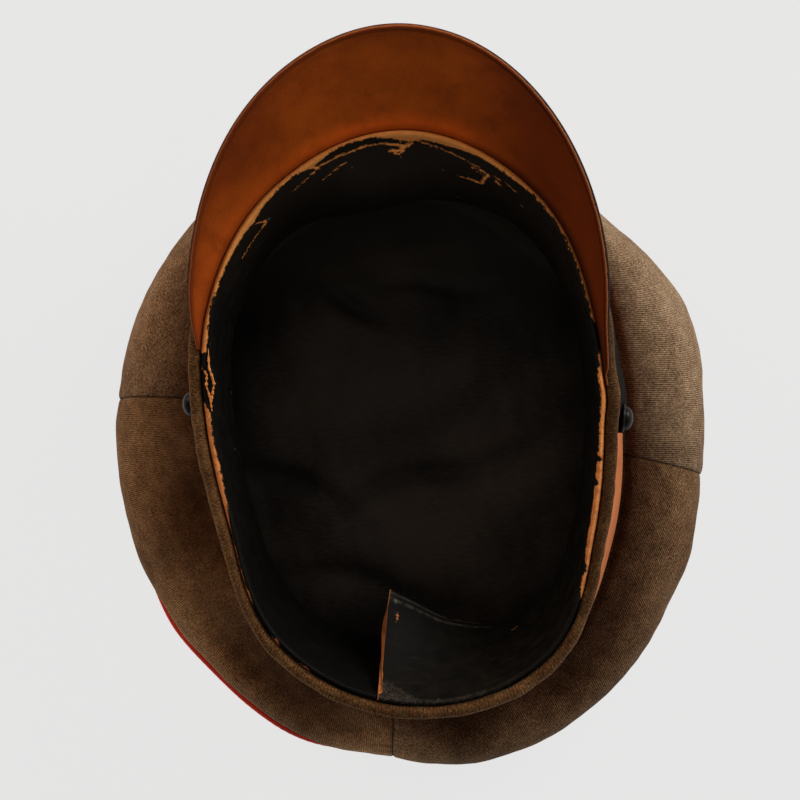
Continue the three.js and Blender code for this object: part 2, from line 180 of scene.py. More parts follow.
def bell(distance, spread):
    """1 at no distance, falling off as a bell curve."""
    return np.exp(-0.5 * (distance / spread) ** 2)


def turn_between(start, end):
    """The turn from one bearing to another, from -180 to 180."""
    return (np.asarray(end) - start + 540) % 360 - 180


def wander(seed, size, *coordinates, waves=10):
    """A smooth random field, mostly between -1 and 1: a sum of plane waves about size long."""
    draw = np.random.default_rng(seed)
    total = 0
    for _ in range(waves):
        heading = draw.normal(size=len(coordinates))
        heading /= np.linalg.norm(heading)
        step = 2 * math.pi / (size * draw.uniform(0.6, 1.7))
        phase = draw.uniform(0, 2 * math.pi)
        total = total + np.sin(sum(c * h for c, h in zip(coordinates, heading)) * step + phase)
    return total / math.sqrt(2 * waves) * 1.2


def pushed(rows, bearing):
    """The sum of pushes, each a (bearing, push, spread) row."""
    return sum(push * bell(turn_between(at, bearing), spread) for at, push, spread in rows)


def round_head(column, bearing):
    """A smooth closed curve (Catmull-Rom) through one column of the stations."""
    values = np.array(STATIONS[column], float)
    place = (np.asarray(bearing, float) % 360) / (360 / len(values))
    k = np.floor(place).astype(int)
    t = place - k
    a, b, c, d = (values[(k + step) % len(values)] for step in (-1, 0, 1, 2))
    return b + 0.5 * t * (c - a + t * (2 * a - 5 * b + 4 * c - d + t * (3 * (b - c) + d - a)))


def seam(bearing):
    return round_head("seam", bearing) + pushed(SEAM_SWELLS, bearing)


def rim(bearing):
    return RIM_MIDDLE + RIM_PITCH * np.cos(np.radians(bearing))


def crown_reach(bearing):
    return round_head("crown", bearing) + pushed(SWELLS, bearing) + CROWN_SPARE


def along_peak(bearing):
    """1 along the peak, easing to 0 past its corners, where the welt comes in to the sweatband."""
    past = np.abs(turn_between(PEAK["middle"], bearing)) - PEAK["half_span"] + WELT_LEAD
    return 1 - smooth(past / WELT_FADE)


def welt_reach(bearing):
    stack = 2 * PEAK_PLY + 2 * GAP
    return seam(bearing) + WELT_RADIUS + WELT_OFF + along_peak(bearing) * stack


def welt_height(bearing):
    return rim(bearing) - WELT_RADIUS - WELT_TUCK * along_peak(bearing)


def band_top(bearing):
    return welt_height(bearing) - WELT_RADIUS - GAP


def band_foot(bearing):
    return rim(bearing) - BAND_TALL


def band_face(bearing, height):
    """Reach of the band's outer face at a height."""
    down = (band_top(bearing) - height) / (band_top(bearing) - band_foot(bearing))
    return welt_reach(bearing) + BAND_PROUD + round_head("flare", bearing) * down


def piping_shows(bearing):
    """1 where the piping stands out past the crown, 0 where it is hidden."""
    turned, ease = np.asarray(bearing) % 360, PIPING_SHOWS["ease"]
    return (smooth((turned - PIPING_SHOWS["from"]) / ease)
            * smooth((PIPING_SHOWS["to"] - turned) / ease))


def piping_reach(bearing):
    return crown_reach(bearing) + PIPING_SHOWS["hidden"] + PIPING_SHOWS["out"] * piping_shows(bearing)


def placed(bearing, reach, height):
    """Points at bearings, reaches and heights, in millimetres."""
    turn = np.radians(bearing)
    return np.stack(np.broadcast_arrays(-np.sin(turn) * reach, -np.cos(turn) * reach, height), -1)


def axes(bearing, reach, height=0):
    """The same points as separate x, y and z."""
    return np.moveaxis(placed(bearing, reach, height), -1, 0)


def flat(bearing, reach):
    """The pattern of a piece cut from flat cloth: the x and y of its points."""
    return placed(bearing, reach, 0)[..., :2]


def whole_turn(count):
    return np.arange(count)[:, None] * 360 / count


def bunched(count, ease=0.75):
    """Shares from 0 to 1 that lie closer together near both ends."""
    t = np.linspace(0, 1, count)
    return t - ease * np.sin(2 * math.pi * t) / (2 * math.pi)


def between(values, place, soft):
    """Values read between their columns: straight at soft 0 and in steps with flat ends at 1."""
    k = np.minimum(place.astype(int), values.shape[-1] - 2)
    t = place - k
    t = t * (1 - soft) + smooth(t) * soft
    return values[..., k] + (values[..., k + 1] - values[..., k]) * t


def inwards(reach, height):
    """The unit normal to the right of a line's run, in the plane of the section."""
    run_r, run_z = np.gradient(reach, axis=1), np.gradient(height, axis=1)
    length = np.hypot(run_r, run_z) + 1e-9
    return run_z / length, -run_r / length


def arc_along(reach, height):
    """How far along its line each point of a section is."""
    return np.cumsum(np.hypot(np.diff(reach, axis=1, prepend=reach[:, :1]),
                              np.diff(height, axis=1, prepend=height[:, :1])), 1)


# ---------------------------------------------------------------- making meshes
NO_AREA = 1e-9
MERGED = 1e-6


def grid_faces(rows, columns, close_rows, close_columns):
    """Quads of a grid of vertices, and the places of their corners on the unwrapped grid."""
    i, j = np.meshgrid(np.arange(rows - (not close_rows)),
                       np.arange(columns - (not close_columns)), indexing="ij")
    places = np.stack([np.stack([i, j], -1), np.stack([i, j + 1], -1),
                       np.stack([i + 1, j + 1], -1), np.stack([i + 1, j], -1)], 2).reshape(-1, 4, 2)
    quads = (places[..., 0] % rows) * columns + places[..., 1] % columns
    return quads, places


def signed_volume(points, quads):
    """Six times the volume inside quads, negative when they are inside out."""
    a, b, c, d = (points[quads[:, k]] for k in range(4))
    return float(np.sum(a * np.cross(b, c)) + np.sum(a * np.cross(c, d)))


def staged(name, data):
    """A new object in the scene."""
    thing = bpy.data.objects.new(name, data)
    bpy.context.scene.collection.objects.link(thing)
    return thing


def build(name, points, quads, uvs=None, fields=None):
    """A mesh object in metres from points in millimetres. uvs, in millimetres too, are given for
    each corner of each quad, and fields are numbers for each point. Faces are turned outwards,
    and points that fall together are merged, so poles and seams are closed."""
    points = np.asarray(points, float).reshape(-1, 3)
    # a quad that lies all on an axis has shrunk to a line, and goes
    a, b, c, d = (points[quads[:, k]] for k in range(4))
    kept = np.linalg.norm(np.cross(c - a, d - b), axis=1) > NO_AREA
    quads, uvs = quads[kept], None if uvs is None else uvs[kept]
    if signed_volume(points, quads) < 0:
        quads = quads[:, ::-1]
        uvs = None if uvs is None else uvs[:, ::-1]
    mesh = bpy.data.meshes.new(name)
    mesh.from_pydata((points * MM).tolist(), [], quads.tolist())
    for field, values in (fields or {}).items():
        attribute = mesh.attributes.new(field, "FLOAT", "POINT")
        attribute.data.foreach_set("value", np.asarray(values, np.float32).ravel())
    if uvs is not None:
        layer = mesh.uv_layers.new(name="cloth")
        layer.data.foreach_set("uv", np.asarray(uvs, np.float32).ravel())
    work = bmesh.new()
    work.from_mesh(mesh)
    bmesh.ops.remove_doubles(work, verts=work.verts, dist=MERGED)
    work.to_mesh(mesh)
    work.free()
    mesh.polygons.foreach_set("use_smooth", [True] * len(mesh.polygons))
    mesh.update()
    piece = staged(name, mesh)
    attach(piece, "root")
    return piece


def carried(name, bearing, reach, height, full=False, cloth=None, fields=None):
    """A closed outline of (reach, height) points carried round the head. All three have a row for
    each bearing and a column for each point of the outline. A full turn closes on itself; an open
    run is capped with quads between each outline point and its partner across the wall. cloth
    gives the pattern's two coordinates from the points; without it they are the way round and the
    way across, in millimetres."""
    bearing, reach, height = np.broadcast_arrays(bearing, reach, height)
    rows, columns = reach.shape
    points = placed(bearing, reach, height)
    quads, places = grid_faces(rows, columns, full, True)
    i, j = places[..., 0], places[..., 1]
    if cloth is None:
        around = np.radians(bearing[:, 0]) * reach.mean()
        step = abs(around[1] - around[0])
        around = np.append(around, around[-1] + step * np.sign(around[-1] - around[0]))
        sides = np.hypot(np.diff(reach, axis=1, append=reach[:, :1]),
                         np.diff(height, axis=1, append=height[:, :1])).mean(0)
        across = np.append(0, np.cumsum(sides))
        uvs = np.stack([around[i], across[j]], -1)
    else:
        uvs = cloth[i % rows, j % columns]
    if not full:
        near = np.arange(columns // 2 - 1)
        far = columns - 1 - near
        last = (rows - 1) * columns
        ends = np.concatenate([np.stack([near, far, far - 1, near + 1], -1),
                               np.stack([near, near + 1, far - 1, far], -1) + last])
        grid_uv = np.zeros((rows * columns, 2))
        grid_uv[quads] = uvs
        quads, uvs = np.concatenate([quads, ends]), np.concatenate([uvs, grid_uv[ends]])
    fields = {key: np.broadcast_to(values, reach.shape) for key, values in (fields or {}).items()}
    return build(name, points, quads, uvs, fields)


def wall(reach, height, thickness, others=(), rounded=(True, True), steps=3):
    """The outline of a wall: a line of points, then the same line set off by thickness to the
    right of its run, in reverse, with a half circle at each rounded end. others are more numbers
    of the line's points, such as bearings, and come back spread over the outline."""
    reach, height, thickness = np.broadcast_arrays(reach, height, thickness)
    right_r, right_z = inwards(reach, height)
    half = thickness / 2
    turn = (np.arange(steps) + 0.5) / steps * math.pi / 2

    def face(sign):
        """One face of the wall, with its share of the rounded ends."""
        parts = [(reach + right_r * half * (1 + sign), height + right_z * half * (1 + sign))]
        for end, way in ((0, -1), (-1, 1)):
            if rounded[end]:
                r, z, h, to_r, to_z = (array[:, [end]] for array in
                                       (reach, height, half, right_r, right_z))
                t = turn[::-1] if end == 0 else turn
                lift, out = h * (1 + sign * np.cos(t)), way * np.abs(h) * np.sin(t)
                parts.insert(0 if end == 0 else len(parts),
                             (r + to_r * lift - to_z * out, z + to_z * lift + to_r * out))
        return [np.concatenate([part[k] for part in parts], 1) for k in (0, 1)]

    def spread(values):
        """Numbers of the line given to every point of the outline."""
        values = np.broadcast_to(values, reach.shape)
        ends = [np.repeat(values[:, [end]], steps * rounded[end], 1) for end in (0, -1)]
        line = np.concatenate([ends[0], values, ends[1]], 1)
        return np.concatenate([line, line[:, ::-1]], 1)

    front, back = face(-1), face(1)
    outline = [np.concatenate([front[k], back[k][:, ::-1]], 1) for k in (0, 1)]
    return outline + [spread(values) for values in others]


def tube(name, path, radius, sides, fields, taper):
    """A closed round tube along a path of points in millimetres, its ends drawn in by taper. Its frames
    are set square to the path from one fixed slanted direction."""
    run = np.gradient(path, axis=0)
    run /= np.linalg.norm(run, axis=1, keepdims=True)
    across = np.cross(run, (0.3, 0.2, 0.93))
    across /= np.linalg.norm(across, axis=1, keepdims=True)
    beside = np.cross(run, across)
    share = np.linspace(0, 1, len(path))
    radius = radius * (1 - taper * (1 - smooth(np.minimum(share, 1 - share) / 0.15)))
    turn = np.arange(sides) * 2 * math.pi / sides
    ring = (across[:, None] * np.cos(turn)[:, None] + beside[:, None] * np.sin(turn)[:, None])
    points = path[:, None] + ring * radius[:, None, None]
    points = np.concatenate([np.repeat(path[:1, None], sides, 1), points,
                             np.repeat(path[-1:, None], sides, 1)])
    rows = len(points)
    fields = {key: np.full(rows * sides, value) for key, value in fields.items()}
    quads, places = grid_faces(rows, sides, False, True)
    length = np.append(0, np.cumsum(np.linalg.norm(np.diff(path, axis=0), axis=1)))
    length = np.concatenate([[0], length, length[-1:]])
    round_it = np.arange(sides + 1) * 2 * math.pi * float(np.mean(radius)) / sides
    uvs = np.stack([length[places[..., 0]], round_it[places[..., 1]]], -1)
    return build(name, points.reshape(-1, 3), quads, uvs, fields)


# ---------------------------------------------------------------- shader expressions
class Flow:
    """A shader socket with arithmetic. An expression on values adds its Math nodes."""

    def __init__(self, tree, socket):
        self.tree, self.socket = tree, socket

    def math(self, operation, *values):
        return self.tree.node("Math", dict(enumerate(values)), operation=operation)

    def __add__(self, other):
        return self.math("ADD", self, other)

    def __sub__(self, other):
        return self.math("SUBTRACT", self, other)

    def __rsub__(self, other):
        return self.math("SUBTRACT", other, self)

    def __mul__(self, other):
        return self.math("MULTIPLY", self, other)

    __radd__, __rmul__ = __add__, __mul__

    def sine(self):
        return self.math("SINE", self)

    def size(self):
        return self.math("ABSOLUTE", self)

    def most(self, other):
        return self.math("MAXIMUM", self, other)

    def part(self, k):
        """Coordinate k of a vector, counted from 0."""
        return self.tree.node("SeparateXYZ", {0: self}, output=k)

    def ramp(self, low, high):
        """0 below low, 1 above high, eased between; low may be above high."""
        if low > high:
            return 1 - self.ramp(high, low)
        return self.tree.node("MapRange", {0: self, 1: low, 2: high}, interpolation_type="SMOOTHSTEP")


class Tree:
    """A node tree, with the kinds of node that the looks are made of."""

    def __init__(self, nodes):
        self.nodes = nodes

    def node(self, kind, inputs=None, output=0, stops=(), **settings):
        """Any node: its type, its settings, which are set first, and the values or links of its
        sockets, by number or name. A ramp's stops are (place, colour) pairs."""
        made = self.nodes.nodes.new("ShaderNode" + kind)
        for key, value in settings.items():
            setattr(made, key, value)
        for k, (place, colour) in enumerate(stops):
            elements = made.color_ramp.elements
            element = elements[k] if k < len(elements) else elements.new(place)
            element.position, element.color = place, (*colour, 1)
        for key, value in (inputs or {}).items():
            self.feed(made.inputs[key], value)
        return Flow(self, made.outputs[output])

    def feed(self, socket, value):
        """Links a Flow to a socket, or sets the socket to a value."""
        if isinstance(value, Flow):
            self.nodes.links.new(value.socket, socket)
        elif isinstance(value, tuple) and len(value) == 3 and socket.type == "RGBA":
            socket.default_value = (*value, 1)
        else:
            socket.default_value = value

    def place(self):
        return self.node("TexCoord", output="Object")

    def cloth(self):
        """The pattern's two coordinates, in millimetres."""
        return self.node("UVMap", uv_map="cloth")

    def field(self, name):
        return self.node("Attribute", output="Fac", attribute_name=name)

    def noise(self, where, size, detail=2.0, roughness=0.5, stretch=None, distortion=0.0):
        """Noise from 0 to 1 whose largest grain is about size, in the units of where."""
        if stretch is not None:
            where = self.node("Mapping", {"Vector": where, "Scale": stretch})
        return self.node("TexNoise", {"Vector": where, "Scale": 1 / size, "Detail": detail,
                                      "Roughness": roughness, "Distortion": distortion})

    def cells(self, where, size, feature="F1"):
        return self.node("TexVoronoi", {"Vector": where, "Scale": 1 / size}, feature=feature)

    def mix(self, share, first, second, blend="MIX"):
        """A mix of two colours."""
        return self.node("Mix", {0: share, 6: first, 7: second}, output=2, data_type="RGBA",
                         blend_type=blend)

    def over(self, colour, *layers):
        """A colour under layers, each a share and a tint, laid over it in turn."""
        for share, *shade in layers:
            colour = self.mix(share, colour, tint(*shade))
        return colour


class Finish(Tree):
    """A material around a Principled shader. Uniform numbers are set on the shader's own sockets."""

    def __init__(self, name, **uniform):
        self.material = bpy.data.materials.new(name)
        self.material.use_nodes = True
        super().__init__(self.material.node_tree)
        self.set(**uniform)

    def set(self, **values):
        """Feeds the shader's own sockets."""
        for key, value in values.items():
            self.feed(self.nodes.nodes["Principled BSDF"].inputs[key.replace("_", " ")], value)

    def finished(self, colour, roughness, height, depth, strength):
        """Feeds colour and roughness, and a bump whose height from 0 to 1 stands for depth."""
        bump = self.node("Bump", {"Height": height, "Distance": depth * MM, "Strength": strength})
        self.set(Base_Color=colour, Roughness=roughness, Normal=bump)
        return self


def tint(red, green, blue):
    """A linear colour from the usual 0 to 255 values."""
    return tuple((v / 255 / 12.92) if v < 10.3 else ((v / 255 + 0.055) / 1.055) ** 2.4
                 for v in (red, green, blue))


def dress(piece, finish, slot, *nodes):
    """Gives a piece its material and hides the frame nodes that it stands for; slot is not used."""
    piece.data.materials.append(finish.material)
    if nodes:
        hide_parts(*nodes)
    return piece


# ---------------------------------------------------------------- crown
def dent_depth(bearing, along):
    """The dents' depth, each a bell both ways, fading out at the band."""
    depth = sum(deep * bell(turn_between(at, bearing), spread) * bell(along - place, DENT_TALL)
                for at, place, deep, spread in DENTS)
    return depth * smooth((1 - along) / DENT_FADE)


def crown_panel(name, row):
    """A side panel: a quarter of an oval from the band's foot out to the widest line, then a
    quarter of a smaller one in to the piping. Its outer face has dents and slow waves, and is
    turned in along both seams, with a pucker every few millimetres."""
    over, under, half_seam = 62, 14, 0.03
    along = np.append(np.linspace(1, 0, over), np.zeros(under))
    down = np.append(np.zeros(over), np.linspace(0, 1, under + 1)[1:])
    (first, first_band), (last, last_band) = row["from"], row["to"]
    start = first + (first_band - first) * along + half_seam
    end = last + (last_band - last) * along - half_seam
    share = bunched(240)[:, None]
    bearing = start + (end - start) * share
    shows = piping_shows(bearing)
    widest = crown_reach(bearing) + PIPING_SHOWS["swell"] * shows
    begin = piping_reach(bearing) - 0.4 - PIPING_SHOWS["under"] * shows
    low = PIPING_HEIGHT + PIPING_RADIUS + GAP
    foot = band_face(bearing, band_foot(bearing)) - BAND_WALL * 0.6
    high = band_foot(bearing) - GAP
    turn, back = along * math.pi / 2, down * math.pi / 2
    sunk = dent_depth(bearing, along)
    out = np.cos(turn)
    reach = np.where(down > 0, begin + (widest - begin) * np.cos(back),
                     foot + (widest - foot - sunk * 0.4) * out)
    valley = 1 - 0.1 * bell(out - 0.07, 0.055)
    height = np.where(down > 0, CROWN_WIDEST - (CROWN_WIDEST - low) * np.sin(back),
                      CROWN_WIDEST + (high - CROWN_WIDEST) * np.sin(turn) * valley - sunk)
    x, y, z = axes(bearing, reach, height)
    to_seam = np.minimum(share, 1 - share) * np.radians(end - start) * reach
    arc = arc_along(reach, height)
    groove = 0.6 * np.exp(-to_seam / 0.7) + 0.3 * bell(to_seam, 3.5)
    pucker = wander(11, 5, arc, share * 0 + first) * bell(to_seam - 2, 2.5) * 0.22
    slow = wander(12, 26, x, y, z, waves=16) * 0.45 + wander(13, 9, x, y, z, waves=16) * 0.1
    held = smooth((arc + 1) / 7)
    right_r, right_z = inwards(reach, height)
    sink = groove + (pucker + slow) * held
    unrolled = reach[:, :1] + arc
    if row["lie"] is None:
        u, v = np.radians(bearing) * 115, unrolled
    else:
        lie = math.radians(row["lie"])
        x, y, _ = axes(bearing, unrolled)
        u, v = x * math.sin(lie) + y * math.cos(lie), y * math.sin(lie) - x * math.cos(lie)
    # painted shade: the cloth's colour is darkened by bearing from the table, towards the band's foot,
    # in the dents and near the widest line
    fade = np.interp(bearing % 360, PAINTED_LIGHT_BY_BEARING["at"], PAINTED_LIGHT_BY_BEARING["fade"]) * (0.3 + 0.7 * smooth(out * 1.1))
    fade = fade * (1 - 0.13 * np.clip(sunk, 0, 4)) * (1 - 0.14 * smooth((out - 0.8) / 0.2))
    r, z, b, u, v, to_seam, fade = wall(reach + right_r * sink, height + right_z * sink, CROWN_WALL,
                                        (bearing, u, v, to_seam, fade))
    return carried(name, b, r, z, cloth=np.stack([u, v], -1),
                   fields={"seam": to_seam, "fade": fade})


def crown_top():
    """A disc with its edge curled up to the piping, as a power of the distance in the curl."""
    bearing = whole_turn(240)
    edge = piping_reach(bearing) - PIPING_RADIUS - 1.5 * GAP
    share = np.append(np.linspace(0, 1, 26), 1 + np.linspace(0, 1, 17)[1:])
    curl = np.maximum(share - 1, 0)
    reach = (edge - TOP_CURL) * np.minimum(share, 1) + TOP_CURL * curl
    height = (PIPING_HEIGHT - TOP_WALL / 2) * curl ** 2.2 + reach * 0
    r, z, b = wall(reach, height, -TOP_WALL, (bearing,), rounded=(False, True))
    # the top's cloth takes a little painted shade all over
    return carried("top", b, r, z, full=True, cloth=flat(b, r),
                   fields={"seam": edge - r, "fade": 0.9})


def round_section(reach, height, radius, sides):
    """A round outline at every bearing."""
    turn = np.arange(sides) * 2 * math.pi / sides
    return reach + radius * np.cos(turn), height + radius * np.sin(turn)


def piping():
    """A round cord at the crown's edge, with small lumps from two waves multiplied."""
    bearing = whole_turn(720)
    turn = np.radians(bearing)
    lumps = 1 + 0.04 * np.sin(turn * 260) * wander(21, 2, np.sin(turn) * 9)
    r, z = round_section(piping_reach(bearing), PIPING_HEIGHT, PIPING_RADIUS * lumps, 14)
    return carried("piping", bearing, r, z, full=True)


def band_cloth():
    """An upright wall from the band's foot to its top, with waves that die away at both."""
    bearing, hem = whole_turn(300), 0.6
    share = np.linspace(0, 1, 22)
    top, foot = band_top(bearing), band_foot(bearing)
    height = foot + hem + (top - foot - 2 * hem) * share
    face = band_face(bearing, height)
    x, y, z = axes(bearing, face, height)
    face = face + wander(31, 16, x, y, z) * 0.18 * np.sin(share * math.pi)
    r, z, b = wall(face, height, -BAND_WALL, (bearing,))
    return carried("band_strip", b, r, z, full=True)


def welt():
    """A round roll of cloth, a little thinner and thicker as it goes."""
    bearing = whole_turn(900)
    c, s = np.cos(np.radians(bearing)) * 90, np.sin(np.radians(bearing)) * 90
    plump, shift = 1 + 0.045 * wander(41, 7, c, s, waves=16), 0.22 * wander(42, 12, c, s, waves=16)
    r, z = round_section(welt_reach(bearing) + shift * 0.6, welt_height(bearing) + shift,
                         WELT_RADIUS * plump, 24)
    # painted shade: the welt's colour is darkened round bearing 105
    fade = 1.05 - 0.5 * bell(turn_between(105, bearing), 40)
    return carried("welt", bearing, r, z, full=True, fields={"seam": 9, "fade": fade})


# ---------------------------------------------------------------- lining
LINING = {"below_rim": 12, "above_foot": 5, "belly": 0.4, "shy": 20, "corner": 6}

# How far the lining has gone outwards, from 0 to 1, at each depth below the band's foot.
BELLY = [(2.6, 0), (11, 0.4), (20, 1)]

# Middle, lie in degrees from +X, length, width and rise of each ridge (valleys fall).
FOLDS = {
    "slack left": (26, -16, 85, 62, 26, 7),
    "slack right": (-30, -10, 30, 48, 16, 6),
    "slack back": (0, 44, 10, 90, 20, 7),
    "tuck front": (23, -47, -39, 30, 2.6, -3),
    "tuck middle": (-6, -53, 5, 30, 2.2, -2.2),
    "tuck long": (-6, 20, 17, 62, 3.2, -3.6),
    "tuck left": (46, 25, -24, 44, 3.4, -3),
    "tuck right": (-20, -12, 36, 44, 6, -3),
    "tuck lower": (20, 62, -12, 50, 3, -2),
}


def inside_band(bearing, height):
    return band_face(bearing, height) - BAND_WALL - LINING_OFF


def lining_out(bearing):
    """Reach of the lining where it hangs at the band's foot, and where it lies furthest out."""
    hung = inside_band(bearing, band_foot(bearing)) - GAP
    wide = hung + (crown_reach(bearing) - hung) * LINING["belly"]
    return hung, np.minimum(wide, piping_reach(bearing) - LINING["shy"])


def lining_side():
    """The lining's side, down inside the band and out under the crown: a line through a few
    levels, rounded off, with gathers that grow from the seam."""
    bearing = whole_turn(300)
    foot = band_foot(bearing)
    hung, out = lining_out(bearing)
    levels = [(inside_band(bearing, z), z)
              for z in (rim(bearing) - LINING["below_rim"], foot + LINING["above_foot"])]
    levels += [(hung + (out - hung) * far, foot - below) for below, far in BELLY]
    levels += [(out, LINING_FLOOR + LINING["corner"] + GAP + out * 0)]
    reach, height = (np.concatenate(row, 1) for row in zip(*levels))
    place = np.linspace(0, len(levels) - 1, 44)
    r, z = between(reach, place, 0.5), between(height, place, 0)
    slack = np.sin(math.pi * place / place[-1]) ** 0.7
    gathers = wander(51, 0.16, np.radians(bearing), place * 0.02, waves=18)
    r = r - slack * (0.5 + 0.5 * gathers) * 1.2
    r, z, b = wall(r, z, LINING_WALL, (bearing,))
    return carried("lining_sides", b, r, z, full=True, fields={"faded": 0})


def fold_height(x, y):
    """The folds' height at a point, each a long bell that snakes a little."""
    total = 0
    for middle_x, middle_y, lie, long, wide, high in FOLDS.values():
        c, s = math.cos(math.radians(lie)), math.sin(math.radians(lie))
        along = (x - middle_x) * c + (y - middle_y) * s
        across = (y - middle_y) * c - (x - middle_x) * s
        across = across + 3 * np.sin(along / 11 + middle_x)
        total = total + high * bell(along, long / 2.4) * bell(across, wide)
    return total


def lining_tip():
    """A slack disc over the crown's top: broad folds, slow ripples, and an edge turned up."""
    bearing = whole_turn(280)
    out = lining_out(bearing)[1]
    share = np.append([1.0, 1.0], np.linspace(1, 0, 60))
    rise = np.append([LINING["corner"], LINING["corner"] - 1.0], np.zeros(60))
    reach = np.where(rise > 0, out, (out - LINING["corner"]) * share)
    easing = smooth((1.1 - share) / 0.3)
    x, y, _ = axes(bearing, reach)
    lift = fold_height(x, y) * easing
    ripple = wander(52, 34, x, y, waves=14) * 1.1 + wander(53, 13, x, y, waves=14) * 0.25
    height = LINING_FLOOR + rise + np.maximum(lift + (ripple + 1) * easing, 0)
    # painted light where the folds rise, and painted shade towards the lining's edge
    faded = np.clip(lift / 8, 0, 1) - 0.5 * smooth((share - 0.66) / 0.3)
    r, z, b, faded = wall(reach, height, -LINING_WALL, (bearing, faded), rounded=(True, False))
    # the far face's middle points meet on the axis
    middle = r.shape[1] // 2
    r[:, middle], z[:, middle] = 0, z[:, middle].mean()
    return carried("lining_crown", b, r, z, full=True, cloth=flat(b, r), fields={"faded": faded})


# ---------------------------------------------------------------- sweatband
UNSEEN = 60  # stands for the distance from the fold on the strip's hidden face


def lean_at(bearing):
    """The lean between the rows, smoothed along the strip."""
    dense = np.arange(-190, 195, 0.5)
    values = np.interp(dense, LEAN["at"], LEAN["lean"])
    weights = bell(np.arange(-24, 25), 9)
    padded = np.pad(values, 24, mode="edge")
    return np.interp(bearing, dense, np.convolve(padded, weights / weights.sum(), "valid"))


def sweatband_section(bearing):
    """The strip's outline at each bearing: over the rim fold, half an ellipse, then down the leaf
    and back up its outer face. The leaf's slope is its lean times a curve whose mean is 1: most
    of it leans in further down, but at the front it rolls over gently at the top. Also returns how
    far along the surface each point is from the fold's outer edge and from the free edge."""
    tucked = smooth((TUCKED["from"] - bearing) / 0.5)
    wide = FOLD["wide"] + (TUCKED["wide"] - FOLD["wide"]) * tucked
    tall = FOLD["tall"] + (TUCKED["tall"] - FOLD["tall"]) * tucked
    outer = seam(bearing) - 0.1
    top = rim(bearing) - TUCKED["below"] * tucked
    over = np.linspace(0, math.pi, 21)
    fold_r = outer - wide / 2 + wide / 2 * np.cos(over)
    fold_z = top - tall + tall * np.sin(over)
    long = SWEATBAND_TALL - FOLD["tall"]
    t = np.linspace(0, 1, 40) ** 1.5
    front = bell(bearing, 35)
    rate = (1 - front) * 1.15 * t ** 0.15 + front * 2.2 * (1 - t) ** 1.2
    slope = np.clip(lean_at(bearing) / long * rate, 0, 0.93)
    step = np.diff(t, prepend=0) * long
    leaf_r = outer - wide - np.cumsum(slope * step, 1)
    leaf_z = top - tall - np.cumsum(np.sqrt(1 - slope ** 2) * step, 1)
    x, y, z = axes(bearing, leaf_r, leaf_z)
    waves = wander(61, 22, x, y, z, waves=16) * 0.5 + wander(62, 7, x, y, z, waves=16) * 0.1
    leaf_r = leaf_r - np.abs(waves * t ** 0.5) * smooth(t / 0.2)
    right_r, right_z = inwards(leaf_r, leaf_z)
    thick = LEATHER * (1 - 0.5 * smooth((bearing - 184) / 2))
    # a raised line beside the free edge
    bead = bell(t - 0.975, 0.006) * 0.18
    leaf_r, leaf_z = leaf_r + right_r * bead, leaf_z + right_z * bead
    back_r, back_z = leaf_r - right_r * thick, leaf_z - right_z * thick
    turn, past = (np.arange(4) + 0.5) / 4 * math.pi, 0.4
    mid_r, mid_z = (leaf_r + back_r)[:, -1:] / 2, (leaf_z + back_z)[:, -1:] / 2
    to_r, to_z = right_r[:, -1:], right_z[:, -1:]
    end_r = mid_r + to_r * thick / 2 * np.cos(turn) - to_z * past * np.sin(turn)
    end_z = mid_z + to_z * thick / 2 * np.cos(turn) + to_r * past * np.sin(turn)
    reach = np.concatenate([fold_r, leaf_r[:, 1:], end_r, back_r[:, :1:-1]], 1)
    height = np.concatenate([fold_z, leaf_z[:, 1:], end_z, back_z[:, :1:-1]], 1)
    seen = over.size + t.size - 1
    free = np.zeros(reach.shape)
    free[:, :seen] = np.append(np.full(over.size, long), (1 - t[1:]) * long)
    away = outer - reach + 0.35 * np.maximum(top - height - 1, 0)
    away[:, seen:] = UNSEEN
    return reach, height, away, free


# Width of the bare, flaked leather along the fold, by bearing, in millimetres along the surface.
# In this chart and in those of streaks, lint and torn strips below, bearings are whole degrees and
# distances half millimetres.
FLAKED = {
    "at": [-180, -159, -157, -155, -151, -149, -146, -140, -137, -134, -120, -115, -105,
           -100, -95, -86, -82, -71, -70, -65, -60, -55, -48, -41, -37, -35, -29, -23, -20,
           -18, -15, -8, -3, -1, 1, 3, 8, 12, 15, 21, 25, 31, 60, 62, 68, 70, 75,
           95, 99, 100, 101, 105, 107, 108, 125, 129, 131, 133, 134, 136, 187],
    "wide": [0, 0, 1, 0, 0, 1, 0, 0, 1, 0.5, 0.5, 1.5, 2.5,
             2.5, 2, 2, 0, 0, 2.5, 2.5, 1.5, 2, 2.5, 3.5, 4.5, 3.5, 2, 2, 4,
             3, 1.5, 1.5, 3.5, 5, 5, 4, 4, 3.5, 2.5, 2.5, 2, 1.5, 1, 0, 0, 1, 2,
             2, 2.5, 0.5, 2.5, 3, 1, 3, 3, 1, 2, 2, 1, 0, 0],
}

